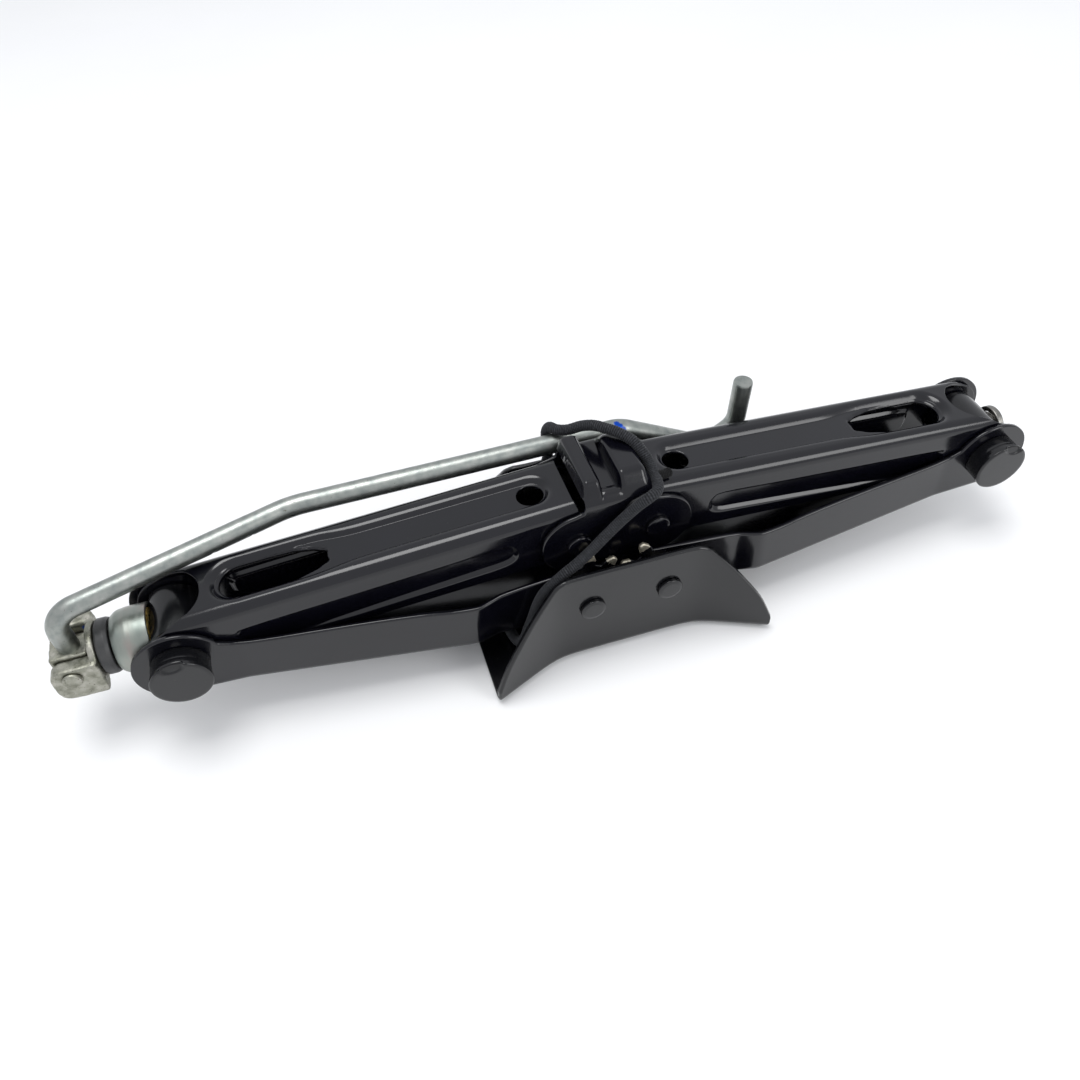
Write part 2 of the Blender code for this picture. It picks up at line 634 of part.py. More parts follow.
def yoke_pin():
    face, head = YOKE_HALF_WIDTH + CLEARANCE, YOKE_PIN_HEAD_RADIUS
    end = face + YOKE_PIN_HEAD
    profile = [(-end, 0), (-end, head), (-face, head), (-face, YOKE_PIN_RADIUS),
               (face, YOKE_PIN_RADIUS), (face, head), (end, head), (end, 0)]
    return finish(turned(profile, "Y", (YOKE_PIN_X, 0, SCREW_Z), 20), "yoke_pin", (CAST, 0.45, 1.0))


# ---------------------------------------------------------------- crank and cord
def crank_tongue():
    """Cast block between the prongs that the rod is fixed in."""
    pin = (YOKE_PIN_X, SCREW_Z)
    outline = arc(pin, TONGUE_RADIUS, 180, 360, 12)
    outline += [(YOKE_PIN_X + TONGUE_RADIUS, TONGUE_TOP_Z), (YOKE_PIN_X - TONGUE_RADIUS, TONGUE_TOP_Z)]
    body = prism(outline, "Y", -TONGUE_HALF_WIDTH, TONGUE_HALF_WIDTH)
    cut(body, rod("Y", -0.02, 0.02, YOKE_PIN_RADIUS + CLEARANCE, (YOKE_PIN_X, 0, SCREW_Z)))
    return finish(body, "crank_tongue", (CAST, 0.55, 0.9))


def crank_rod():
    """Bent round bar: knee, run over the left arm, run beside the saddle, dip and end stub."""
    path = filleted_path(CRANK_CORNERS, CRANK_BENDS, 5)
    return tube("crank_rod", path, ROD_RADIUS, False, (ZINC, 0.35, 1.0), 3)


CORD_ROUTE = (
    (-0.0490, -0.0302, 0.0120), (-0.0515, -0.0200, 0.0090), (-0.0515, 0.0, 0.0088),
    (-0.0515, 0.0200, 0.0090), (-0.0495, 0.0302, 0.0120), (-0.0460, 0.0312, 0.0210),
    (-0.0395, 0.0314, 0.0300), (-0.0310, 0.0316, 0.0390), (-0.0230, 0.0320, 0.0470),
    (-0.0175, 0.0322, 0.0550), (-0.0150, 0.0325, 0.0620), (-0.0148, 0.0342, 0.0677),
    (-0.0150, 0.0348, 0.0738), (-0.0142, 0.0322, 0.0789), (-0.0122, 0.0275, 0.0807),
    (-0.0085, 0.0235, 0.0828), (-0.0035, 0.0195, 0.0868), (0.0005, 0.0152, 0.0895),
    (0.0042, 0.0110, 0.0903), (0.0086, 0.0068, 0.0901), (0.0133, 0.0017, 0.0883),
    (0.0161, -0.0030, 0.0852), (0.0179, -0.0072, 0.0818), (0.0180, -0.0125, 0.0799),
    (0.0173, -0.0177, 0.0797), (0.0155, -0.0219, 0.0797), (0.0112, -0.0240, 0.0790),
    (0.0065, -0.0238, 0.0755), (0.0000, -0.0238, 0.0697), (-0.0080, -0.0252, 0.0637),
    (-0.0153, -0.0272, 0.0588), (-0.0225, -0.0295, 0.0555), (-0.0293, -0.0308, 0.0518),
    (-0.0388, -0.0310, 0.0421), (-0.0448, -0.0310, 0.0240))
CORD_TAIL = ((0.0208, -0.0132, 0.0793), (0.0230, -0.0125, 0.0785), (0.0252, -0.0115, 0.0781))


def build():
    clear_scene()
    base_plate()
    for side, word in ((-1, "left"), (1, "right")):
        x = side * PIN_X
        headed_pin("base_pin_" + word, x, BASE_PIN_Z, BASE_WALL_Y, BASE_HEAD_RADIUS)
        headed_pin("saddle_pin_" + word, x, SADDLE_PIN_Z, EAR_HALF_WIDTH, SADDLE_HEAD_RADIUS)
        arm("lower_arm_" + word, side, -1, RIGHT_TEETH if side > 0 else LEFT_LOWER_TEETH)
        arm("upper_arm_" + word, side, 1, RIGHT_TEETH if side > 0 else LEFT_UPPER_TEETH)
        trunnion("trunnion_" + word, side)
        trunnion_cap("trunnion_cap_" + word, side)
        trunnion_keeper("trunnion_keeper_" + word, side)
        for end, place_word in ((-1, "front"), (1, "rear")):
            base_pin_spacer(f"base_pin_spacer_{word}_{place_word}", side, end)
    saddle()
    lead_screw()
    ring("screw_end_stop", STOP_LEFT_FACE + STOP_THICKNESS, STOP_THICKNESS, STOP_RADIUS,
         (STEEL, 0.4, 1.0))
    ring("inner_race", INNER_RACE_X, RACE_THICKNESS, RACE_RADIUS, (BRASS, 0.35, 1.0))
    ball_cage()
    ring("outer_race", OUTER_RACE_X, RACE_THICKNESS, RACE_RADIUS, (STEEL, 0.3, 1.0))
    thrust_cup()
    ring("thrust_collar", COLLAR_X, COLLAR_THICKNESS, COLLAR_RADIUS, (BLACK_PAINT, 0.45, 0.0))
    screw_yoke()
    yoke_pin()
    crank_tongue()
    crank_rod()
    tube("elastic_cord", smooth_path(CORD_ROUTE, True, 2), CORD_RADIUS, True,
         (CORD_BLACK, 0.8, 0.0))
    tube("cord_tail", smooth_path(CORD_TAIL, False, 2), CORD_TAIL_RADIUS, False,
         (CORD_BLACK, 0.8, 0.0))


build()
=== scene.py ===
"""Looks of a folded scissor car jack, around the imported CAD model.  Metres throughout."""
import math

import bmesh
import bpy
import numpy as np
from mathutils import Matrix, Vector, geometry, kdtree, noise


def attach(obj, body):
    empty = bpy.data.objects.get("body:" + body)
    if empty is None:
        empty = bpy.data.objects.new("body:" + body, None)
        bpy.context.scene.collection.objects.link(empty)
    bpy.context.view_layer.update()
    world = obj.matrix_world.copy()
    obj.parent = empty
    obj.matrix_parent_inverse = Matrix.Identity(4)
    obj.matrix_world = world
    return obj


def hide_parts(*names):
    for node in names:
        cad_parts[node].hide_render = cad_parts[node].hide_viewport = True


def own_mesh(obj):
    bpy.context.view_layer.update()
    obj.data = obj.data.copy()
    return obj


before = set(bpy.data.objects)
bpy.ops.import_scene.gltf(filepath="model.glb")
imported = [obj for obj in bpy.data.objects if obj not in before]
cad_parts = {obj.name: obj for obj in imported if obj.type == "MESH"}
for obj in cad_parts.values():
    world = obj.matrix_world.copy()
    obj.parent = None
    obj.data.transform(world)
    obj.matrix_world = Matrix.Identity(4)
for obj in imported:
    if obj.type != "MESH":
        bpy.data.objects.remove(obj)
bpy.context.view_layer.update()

# ---------------- the frame's dimensions
TRUNNION_X = 0.190
SCREW_Z = 0.045
PIN_X = 0.018
PIN_DROP = 0.011
BASE_PIN_Z = SCREW_Z - PIN_DROP
SADDLE_PIN_Z = SCREW_Z + PIN_DROP
ARM_LENGTH = math.hypot(TRUNNION_X - PIN_X, PIN_DROP)
REST_ANGLE = math.atan2(PIN_DROP, TRUNNION_X - PIN_X)
LOWER_SHEET, UPPER_SHEET, BASE_SHEET, SADDLE_SHEET = 0.0026, 0.0024, 0.003, 0.0026
EAR_HALF_WIDTH, UPPER_HALF_WIDTH = 0.020, 0.017
GEAR_HALF_WIDTH, SHOULDER_HALF_WIDTH = 0.027, 0.030
BASE_WALL_Y = 0.038
LOWER_WEB, UPPER_WEB = 0.021, 0.020
TIP_RADIUS, ROOT_RADIUS, BACKLASH = 0.0206, 0.0142, 0.0007
PRESSURE_ANGLE = math.radians(28)
TEETH_PER_TURN = 10
PIN_HOLE_RADIUS = 0.0043
TRUNNION_FLAT = 0.009          # from the left trunnion's axis to its flat, and a journal's radius
YOKE_PIN_X = -0.2325
ROD_Y, ROD_Z, ROD_RADIUS = 0.0275, 0.0731, 0.0045
CORD_RADIUS = 0.0025


# ---------------- small helpers
def smooth(x):
    """A soft step from 0 to 1."""
    x = np.clip(x, 0.0, 1.0)
    return x * x * (3 - 2 * x)


def arc(centre, radius, start, end, steps):
    """Points along an arc, from start to end in degrees."""
    turn = np.radians(np.linspace(start, end, steps + 1))
    return [(centre[0] + radius * math.cos(a), centre[1] + radius * math.sin(a)) for a in turn]


def catmull(points, closed, steps):
    """Points along a Catmull-Rom curve through the given points, in 2D or 3D."""
    p = np.array(points, float)
    n = len(p)
    out = []
    for i in range(n if closed else n - 1):
        a, b, c, d = (p[(i + k) % n] if closed else p[min(max(i + k, 0), n - 1)]
                      for k in (-1, 0, 1, 2))
        for k in range(steps):
            t = k / steps
            out.append(0.5 * (2 * b + (c - a) * t + (2 * a - 5 * b + 4 * c - d) * t * t
                              + (3 * b - a - 3 * c + d) * t ** 3))
    if not closed:
        out.append(p[-1])
    return np.array(out)


def fillet(points, radii, closed, steps=4):
    """A polyline with its corners rounded; works in 2D and 3D."""
    p = [np.array(q, float) for q in points]
    n = len(p)
    out = []
    for i in range(n):
        if radii[i] <= 0 or (not closed and i in (0, n - 1)):
            out.append(p[i])
            continue
        before, after = p[i - 1] - p[i], p[(i + 1) % n] - p[i]
        lb, la = np.linalg.norm(before), np.linalg.norm(after)
        before, after = before / lb, after / la
        half = math.acos(float(np.clip(before @ after, -1, 1))) / 2
        if half > 1.55:
            out.append(p[i])
            continue
        reach = min(radii[i] / math.tan(half), 0.49 * lb, 0.49 * la)
        radius = reach * math.tan(half)
        middle = p[i] + (before + after) / np.linalg.norm(before + after) * radius / math.sin(half)
        start, end = p[i] + before * reach - middle, p[i] + after * reach - middle
        sweep = math.pi - 2 * half
        for k in range(steps + 1):
            t = k / steps
            out.append(middle + (start * math.sin((1 - t) * sweep) + end * math.sin(t * sweep))
                       / math.sin(sweep))
    return out


def mesh_object(name, verts, faces):
    """A linked object with a mesh of these points and faces."""
    mesh = bpy.data.meshes.new(name)
    mesh.from_pydata([tuple(map(float, v)) for v in verts], [], faces)
    mesh.validate()
    obj = bpy.data.objects.new(name, mesh)
    bpy.context.scene.collection.objects.link(obj)
    return obj


def applied(obj):
    """Apply every modifier of an object."""
    depsgraph = bpy.context.evaluated_depsgraph_get()
    mesh = bpy.data.meshes.new_from_object(obj.evaluated_get(depsgraph))
    obj.modifiers.clear()
    obj.data = mesh
    return obj


def soften(obj, sharp):
    """Smooth shading that keeps large faces flat, with hard edges over sharp degrees, if any."""
    obj.data.shade_smooth()
    if sharp:
        obj.data.set_sharp_from_angle(angle=math.radians(sharp))
    modifier = obj.modifiers.new("normals", "WEIGHTED_NORMAL")
    modifier.keep_sharp = sharp is not None
    modifier.weight = 80
    return applied(obj)


def outward(obj):
    """Turn all faces to the outside."""
    bm = bmesh.new()
    bm.from_mesh(obj.data)
    bmesh.ops.recalc_face_normals(bm, faces=bm.faces)
    bm.to_mesh(obj.data)
    bm.free()
    return obj


# ---------------- materials
def node_material(name, colours, rough, metallic=0.0, spread=60.0, rough_scale=140.0,
                  bumps=(), specks=(), dabs=(), streak=(1, 1, 1), specular=0.5):
    """Procedural surface: mottled colour and roughness, grain, specks of dirt and paint dabs."""
    made = bpy.data.materials.new(name)
    made.use_nodes = True
    nodes, links = made.node_tree.nodes, made.node_tree.links
    shader = nodes["Principled BSDF"]
    shader.inputs["Metallic"].default_value = metallic
    shader.inputs["Specular IOR Level"].default_value = specular
    where = nodes.new("ShaderNodeTexCoord")
    mapping = nodes.new("ShaderNodeMapping")
    mapping.inputs["Scale"].default_value = streak
    links.new(where.outputs["Object"], mapping.inputs["Vector"])

    def cloud(scale, detail=4.0, vector=mapping):
        grain = nodes.new("ShaderNodeTexNoise")
        grain.inputs["Scale"].default_value = scale
        grain.inputs["Detail"].default_value = detail
        links.new(vector.outputs[0], grain.inputs["Vector"])
        return grain.outputs["Fac"]

    def remap(value, low, high, to_low=0.0, to_high=1.0):
        node = nodes.new("ShaderNodeMapRange")
        for k, limit in enumerate((low, high, to_low, to_high), 1):
            node.inputs[k].default_value = limit
        links.new(value, node.inputs[0])
        return node.outputs[0]

    def mix(fac, base, other):
        node = nodes.new("ShaderNodeMix")
        node.data_type = "RGBA"
        links.new(fac, node.inputs[0])
        links.new(base, node.inputs[6])
        node.inputs[7].default_value = (*other, 1)
        return node.outputs[2]

    ramp = nodes.new("ShaderNodeValToRGB")
    ramp.color_ramp.elements[0].position = 0.32
    ramp.color_ramp.elements[1].position = 0.68
    ramp.color_ramp.elements[0].color = (*colours[0], 1)
    ramp.color_ramp.elements[1].color = (*colours[-1], 1)
    if len(colours) == 3:
        ramp.color_ramp.elements.new(0.5).color = (*colours[1], 1)
    links.new(cloud(spread), ramp.inputs["Fac"])
    colour = ramp.outputs["Color"]

    for scale, threshold, other in specks:
        colour = mix(remap(cloud(scale, 2.0), threshold, threshold + 0.03), colour, other)
    for centre, radius, other in dabs:
        away = nodes.new("ShaderNodeVectorMath")
        away.operation = "DISTANCE"
        away.inputs[1].default_value = centre
        wobble = nodes.new("ShaderNodeMath")
        wobble.operation = "MULTIPLY_ADD"
        wobble.inputs[1].default_value = radius
        links.new(cloud(700.0, 2.0, where), wobble.inputs[0])
        links.new(where.outputs["Object"], away.inputs[0])
        links.new(away.outputs["Value"], wobble.inputs[2])
        covered = remap(wobble.outputs[0], radius * 1.25, radius * 1.55, 1.0, 0.0)
        colour = mix(covered, colour, other)
        if metallic:
            links.new(remap(covered, 0.0, 1.0, metallic, 0.0), shader.inputs["Metallic"])
    links.new(colour, shader.inputs["Base Color"])
    links.new(remap(cloud(rough_scale, 5.0), 0.3, 0.7, *rough), shader.inputs["Roughness"])
    normal = None
    for scale, height in bumps:
        bump = nodes.new("ShaderNodeBump")
        bump.inputs["Strength"].default_value = 1.0
        bump.inputs["Distance"].default_value = height
        links.new(cloud(scale, 3.0), bump.inputs["Height"])
        if normal:
            links.new(normal, bump.inputs["Normal"])
        normal = bump.outputs["Normal"]
    if normal:
        links.new(normal, shader.inputs["Normal"])
    return made


BLUE = (0.010, 0.065, 0.42)
PAINT = node_material("black_paint", ((0.0018, 0.0018, 0.0036), (0.0030, 0.0030, 0.0056)),
                      (0.12, 0.17), spread=35, rough_scale=55,
                      bumps=((160, 0.00002), (700, 0.000004)),
                      specks=((1600, 0.735, (0.03, 0.03, 0.03)),))
DULL_PAINT = node_material("satin_black_paint",
                           ((0.0024, 0.0025, 0.0036), (0.0042, 0.0044, 0.0054)),
                           (0.15, 0.22), spread=45, rough_scale=80,
                           bumps=((200, 0.00003), (900, 0.000006)),
                           specks=((1500, 0.73, (0.04, 0.04, 0.036)),))
ZINC = node_material("zinc_plate", ((0.25, 0.27, 0.26), (0.31, 0.33, 0.31), (0.37, 0.38, 0.36)),
                     (0.34, 0.46), 1.0, spread=260, rough_scale=500,
                     bumps=((1800, 0.000008), (600, 0.000010)),
                     specks=((900, 0.72, (0.14, 0.13, 0.11)),),
                     dabs=[(centre, 0.0016, BLUE) for centre in (
                         (0.0160, 0.0262, 0.0768), (0.0172, 0.0249, 0.0763),
                         (0.0184, 0.0237, 0.0750))])
CUP_ZINC = node_material("zinc_cup", ((0.20, 0.24, 0.22), (0.31, 0.33, 0.30), (0.38, 0.31, 0.29)),
                         (0.30, 0.46), 1.0, spread=90, rough_scale=300, streak=(1, 0.35, 0.35),
                         bumps=((1400, 0.00001),))
CAST = node_material("cast_steel", ((0.20, 0.20, 0.16), (0.31, 0.31, 0.26), (0.42, 0.41, 0.36)),
                     (0.36, 0.55), 1.0, spread=240, rough_scale=700,
                     bumps=((1300, 0.00005), (3200, 0.00004)),
                     specks=((1500, 0.67, (0.05, 0.045, 0.03)), (1900, 0.70, (0.75, 0.72, 0.66))),
                     dabs=(((-0.2250, 0.0068, 0.0520), 0.0016, (0.02, 0.07, 0.32)),))
STEEL = node_material("plain_steel", ((0.16, 0.16, 0.15), (0.30, 0.29, 0.27)),
                      (0.30, 0.45), 1.0, spread=220, rough_scale=380,
                      bumps=((1200, 0.00002),), specks=((700, 0.68, (0.05, 0.045, 0.03)),))
BARE = node_material("bare_tooth", ((0.50, 0.46, 0.36), (0.78, 0.73, 0.60)), (0.30, 0.5), 0.7,
                     spread=300, bumps=((1500, 0.00004),))
BRASS = node_material("yellow_plate", ((0.20, 0.12, 0.02), (0.55, 0.38, 0.10), (0.80, 0.64, 0.28)),
                      (0.22, 0.45), 0.6, spread=420, rough_scale=500,
                      bumps=((900, 0.00008),), specks=((600, 0.62, (0.03, 0.02, 0.005)),))
COLLAR = node_material("black_rubber_collar", ((0.035, 0.036, 0.037), (0.06, 0.06, 0.06)),
                       (0.38, 0.5), 0.4, spread=160, bumps=((900, 0.00003),))
CORD = node_material("black_cord", ((0.020, 0.021, 0.024), (0.045, 0.047, 0.053)), (0.6, 0.75),
                     spread=900, rough_scale=1500, bumps=((3200, 0.00006),),
                     specks=((2600, 0.70, (0.09, 0.09, 0.095)),), specular=0.12)


def paint_rib_shade(material):
    """Painted shade: darken a cord's base colour in the hollows between its ribs, where the point
    attribute of its height is low.
    """
    nodes, links = material.node_tree.nodes, material.node_tree.links
    shader = nodes["Principled BSDF"]
    rib_shade_mask = nodes.new("ShaderNodeAttribute")
    rib_shade_mask.attribute_name = "rib_shade_mask"
    rib_shade_mix = nodes.new("ShaderNodeMix")
    rib_shade_mix.data_type = "RGBA"
    # painted shade: near-black colour mixed in where the cord's surface sinks between its ribs
    rib_shade_mix.inputs[6].default_value = (0.0008, 0.0008, 0.001, 1)
    links.new(rib_shade_mask.outputs["Fac"], rib_shade_mix.inputs[0])
    links.new(shader.inputs["Base Color"].links[0].from_socket, rib_shade_mix.inputs[7])
    links.new(rib_shade_mix.outputs[2], shader.inputs["Base Color"])
    shader.inputs["Sheen Weight"].default_value = 0.08
    shader.inputs["Sheen Roughness"].default_value = 0.5


# painted shade in the hollows between the cord's ribs
paint_rib_shade(CORD)


def fit(obj, look, body, slot, *nodes):
    """Give a piece its material and its body, and hide the CAD nodes that it stands for; slot is
    not used.
    """
    obj.data.materials.clear()
    obj.data.materials.append(look)
    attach(obj, body)
    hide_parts(*nodes)


# ---------------- pressed sheet metal
def resample(loop, step):
    """A closed loop with points no further apart than step."""
    p = np.array(loop, float)
    out = []
    for a, b in zip(p, np.roll(p, -1, 0)):
        parts = max(1, math.ceil(np.linalg.norm(b - a) / step))
        out.extend(a + (b - a) * k / parts for k in range(parts))
    return np.array(out)


def side_normals(loop):
    """Left-hand mitre directions along a closed loop, scaled to offset it by 1."""
    ahead = np.roll(loop, -1, 0) - loop
    ahead /= np.maximum(np.linalg.norm(ahead, axis=1), 1e-12)[:, None]
    left = np.stack((-ahead[:, 1], ahead[:, 0]), 1)
    both = left + np.roll(left, 1, 0)
    both /= np.maximum(np.linalg.norm(both, axis=1), 1e-9)[:, None]
    return both / np.clip((both * left).sum(1), 0.6, 1)[:, None]


def inside(p, loop):
    """Which points lie inside a closed loop."""
    x, y = p[:, :1], p[:, 1:]
    a, b = loop, np.roll(loop, -1, 0)
    crosses = (a[:, 1] > y) != (b[:, 1] > y)
    rise = np.where(np.abs(b[:, 1] - a[:, 1]) < 1e-15, 1e-15, b[:, 1] - a[:, 1])
    at = a[:, 0] + (y - a[:, 1]) * (b[:, 0] - a[:, 0]) / rise
    return (crosses & (x < at)).sum(1) % 2 == 1


def signed_distance(p, loop):
    """Distance to a closed loop, positive inside it."""
    a = loop
    along = np.roll(loop, -1, 0) - a
    best = np.full(len(p), 1e9)
    for start, step in zip(a, along):
        t = np.clip(((p - start) @ step) / max(step @ step, 1e-18), 0, 1)
        best = np.minimum(best, ((p - start - t[:, None] * step) ** 2).sum(1))
    best = np.sqrt(best)
    return np.where(inside(p, loop), best, -best)


CROWDED = 0.00055          # a grid point nearer than this to an outline or a press line is left out
PROBE = 0.00008            # step for the slopes of a surface


class Press:
    """A region pressed to a depth, with a rounded wall of the given width round it."""

    def __init__(self, loop, depth, wall, ease=1.0):
        self.loop, self.depth, self.wall = resample(loop, 0.0008), depth, wall
        self.ease = ease
        self.low = self.loop.min(0) - wall
        self.high = self.loop.max(0) + wall

    def at(self, p):
        out = np.zeros(len(p))
        near = ((p > self.low) & (p < self.high)).all(1)
        if near.any():
            share = np.clip(signed_distance(p[near], self.loop) / self.wall + 0.5, 0, 1)
            out[near] = self.depth * smooth(share ** self.ease)
        return out

    def lines(self):
        left = side_normals(self.loop) * self.wall
        return [self.loop + left * share for share in (0, 0.25, -0.25, 0.5, -0.5)]


def flat_mesh(outer, holes, columns, rows, lines, edge):
    """Triangles over a flat pattern, with a narrow strip along each outline.

    Gives the points, the triangles, which points are on an outline, and their way outwards."""
    loops = [resample(loop, 0.0011) for loop in [outer] + list(holes)]
    insets = [loop + side_normals(loop) * edge for loop in loops]

    def solid(q):
        metal = inside(q, loops[0])
        for hole in loops[1:]:
            metal &= ~inside(q, hole)
        return metal

    verts, edges = [], []

    def add(loop):
        first = len(verts)
        verts.extend(loop)
        edges.extend((first + k, first + (k + 1) % len(loop)) for k in range(len(loop)))

    for loop in loops + insets:
        add(loop)
    on_rim = sum(map(len, loops))
    for line in lines:
        keep = solid(line) & (np.abs(signed_distance(line, loops[0])) > 2 * edge)
        for hole in loops[1:]:
            keep &= np.abs(signed_distance(line, hole)) > 2 * edge
        if keep.all():
            add(line)
        else:
            verts.extend(line[keep])
    tree = kdtree.KDTree(len(verts))
    for k, v in enumerate(verts):
        tree.insert((v[0], v[1], 0), k)
    tree.balance()
    grid = np.array([(s, t) for s in columns for t in rows])
    grid = grid[solid(grid)]
    verts.extend(q for q in grid if tree.find((q[0], q[1], 0))[2] > CROWDED)
    scale = 1000.0          # triangulated in millimetres, where its tolerance is small enough
    flat, _, tris, origin, _, _ = geometry.delaunay_2d_cdt(
        [Vector((float(v[0]) * scale, float(v[1]) * scale)) for v in verts], edges, [], 0, 1e-6)
    flat = np.array([(v.x / scale, v.y / scale) for v in flat])
    tris = np.array(tris)
    centres = flat[tris].mean(1)
    tris = tris[solid(centres)]
    a, b, c = (flat[tris[:, k]] for k in range(3))
    turn = (b[:, 0] - a[:, 0]) * (c[:, 1] - a[:, 1]) - (b[:, 1] - a[:, 1]) * (c[:, 0] - a[:, 0])
    tris[turn < 0] = tris[turn < 0][:, ::-1]
    used = np.unique(tris)
    remap = -np.ones(len(flat), int)
    remap[used] = np.arange(len(used))
    tris = remap[tris]
    rim = np.array([bool(o) and min(o) < on_rim for o in origin])[used]
    index = np.array([min(o) if o else 0 for o in origin])[used]
    flat = flat[used]
    rim_out = -np.concatenate([side_normals(loop) for loop in loops])
    outwards = np.zeros_like(flat)
    outwards[rim] = rim_out[index[rim]]
    return flat, tris, rim, outwards


def sheet(name, outer, holes, columns, rows, surface, thickness, lines=(), edge=0.0004,
          place=None):
    """Sheet metal from its flat pattern.  surface maps flat points to its middle surface."""
    flat, tris, rim, outwards = flat_mesh(outer, holes, columns, rows, lines, edge)
    mid = surface(flat)
    ds = surface(flat + (PROBE, 0)) - surface(flat - (PROBE, 0))
    dt = surface(flat + (0, PROBE)) - surface(flat - (0, PROBE))
    normal = np.cross(ds, dt)
    normal /= np.linalg.norm(normal, axis=1)[:, None]
    away = surface(flat + outwards * PROBE) - mid
    size = np.linalg.norm(away, axis=1)[:, None]
    away = np.where(size > 1e-9, away / np.maximum(size, 1e-9), 0)
    half = np.where(rim, thickness / 2 - edge, thickness / 2)[:, None]
    points = np.concatenate((mid + normal * half, mid - normal * half))
    normals = np.concatenate((normal + away, away - normal))
    normals /= np.linalg.norm(normals, axis=1)[:, None]
    n = len(flat)
    faces = [tuple(map(int, t)) for t in tris] + [tuple(int(i) + n for i in t[::-1]) for t in tris]
    sides = dict.fromkeys((int(t[k]), int(t[(k + 1) % 3])) for t in tris for k in range(3))
    faces += [(i, i + n, j + n, j) for i, j in sides if (j, i) not in sides]
    obj = mesh_object(name, points, faces)
    if place is not None:
        obj.data.transform(place)
        turn = np.array(place.to_3x3())
        normals = normals @ turn.T
    bm = bmesh.new()
    bm.from_mesh(obj.data)
    volume = bm.calc_volume(signed=True)
    bm.free()
    if volume < 0:
        obj.data.flip_normals()
    obj.data.shade_smooth()
    obj.data.normals_split_custom_set_from_vertices([tuple(v) for v in normals])
    return obj


class Channel:
    """A U-shaped channel: a flat web at height web, and two flanges bent down from it.

    Flat points are (s, t): s along the channel, t across it from the web's middle."""

    def __init__(self, web, thickness, bend, width, flat_half, presses=(), sign=1.0):
        self.top = web - sign * thickness / 2
        self.bend, self.thickness, self.width = bend, thickness, width
        self.flat_half, self.presses, self.sign = flat_half, presses, sign
        self.arc = bend * math.pi / 2

    def across(self, out):
        """Flat coordinate of a height on the flange."""
        drop = self.sign * (self.top - out)
        if drop >= self.bend:
            return self.flat_half + self.arc + drop - self.bend
        return self.flat_half + self.bend * math.acos(min(1, max(0, 1 - max(drop, 0) / self.bend)))

    def base(self, p):
        s, t = p[:, 0], np.abs(p[:, 1])
        half = self.width(s) - self.thickness / 2 - self.bend
        angle = np.clip((t - self.flat_half) / self.bend, 0, math.pi / 2)
        down = np.maximum(t - self.flat_half - self.arc, 0)
        y = np.minimum(t / self.flat_half, 1) * half + self.bend * np.sin(angle)
        drop = self.bend * (1 - np.cos(angle)) + down
        side = np.where(p[:, 1] < 0, -1.0, 1.0)
        return s, side * y, self.top - self.sign * drop, angle, side

    def __call__(self, p):
        s, y, z, angle, side = self.base(p)
        depth = sum((press.at(p) for press in self.presses), np.zeros(len(p)))
        return np.stack((s, y - side * np.sin(angle) * depth,
                         z - self.sign * np.cos(angle) * depth), 1)

    def rows(self, reach, step):
        half = self.flat_half
        ends = list(np.linspace(0, half, max(2, round(half / step)) + 1))
        ends += [half + self.arc * k / 6 for k in range(1, 7)]
        ends += list(np.arange(half + self.arc + step, half + self.arc + reach, step))
        return sorted({round(v, 7) for v in ends} | {-round(v, 7) for v in ends})

    def lines(self):
        return [line for press in self.presses for line in press.lines()]


def arm_matrix(side, level):
    """Arm frame to world: X from the inner pin to the trunnion, Z towards the web."""
    along = (side * math.cos(REST_ANGLE), 0, -level * math.sin(REST_ANGLE))
    out = (side * math.sin(REST_ANGLE), 0, level * math.cos(REST_ANGLE))
    matrix = Matrix.Identity(4)
    matrix.col[0][:3] = along
    matrix.col[2][:3] = out
    matrix.col[3][:3] = (side * PIN_X, 0, SCREW_Z + level * PIN_DROP)
    return matrix


def tooth_half_angle(radius):
    """Half a tooth's angle at a radius, on an involute flank."""
    base_radius = PIN_X * math.cos(PRESSURE_ANGLE)
    involute = math.tan(PRESSURE_ANGLE) - PRESSURE_ANGLE
    half = math.pi / (2 * TEETH_PER_TURN) - BACKLASH / (2 * PIN_X)
    if radius <= base_radius:
        return half + involute
    roll = math.acos(base_radius / radius)
    return half + involute - (math.tan(roll) - roll)


def toothed_end(teeth):
    """Outline of an arm's geared end, from its free edge round to its web."""
    radii = (ROOT_RADIUS, 0.0159, 0.0170, 0.0181, 0.0192, 0.0201, TIP_RADIUS)
    contact = math.pi + REST_ANGLE
    points = []
    for tooth in sorted(teeth, reverse=True):
        middle = contact + math.radians(tooth)
        for sign, order in ((1, radii), (-1, radii[::-1])):
            for radius in order:
                angle = middle + sign * tooth_half_angle(radius)
                points.append((radius * math.cos(angle), radius * math.sin(angle)))
    last = math.degrees(contact + math.radians(min(teeth)) - tooth_half_angle(ROOT_RADIUS))
    return points + arc((0, 0), ROOT_RADIUS, last - 8, 100, 6)


def mirrored(loop):
    """A flat loop across to the other flange, traced the same way round."""
    return [(s, -t) for s, t in loop][::-1]


def flat_pattern(channel, free_edge, start, end, bite=0.0):
    """Flat pattern of a channel from one flange's edge, given from its start to its end."""
    half = channel.flat_half
    near = [(start, -half)] + [(s, -channel.across(out)) for s, out in free_edge] + [(end, -half)]
    turn = np.linspace(-1, 1, 17)[1:-1] if bite else ()
    mouth = [(end - bite * (1 - abs(u) ** 2.4), half * u) for u in turn]
    return near + mouth + [(s, -t) for s, t in near[::-1]]


def circle(centre, radius, steps=40):
    """A hole, traced clockwise."""
    return arc(centre, radius, 360, 360 / steps, steps - 1)


def area(loop):
    """Signed area of a flat loop, positive where it is traced anticlockwise."""
    p = np.array(loop)
    q = np.roll(p, -1, 0)
    return 0.5 * float((p[:, 0] * q[:, 1] - q[:, 0] * p[:, 1]).sum())


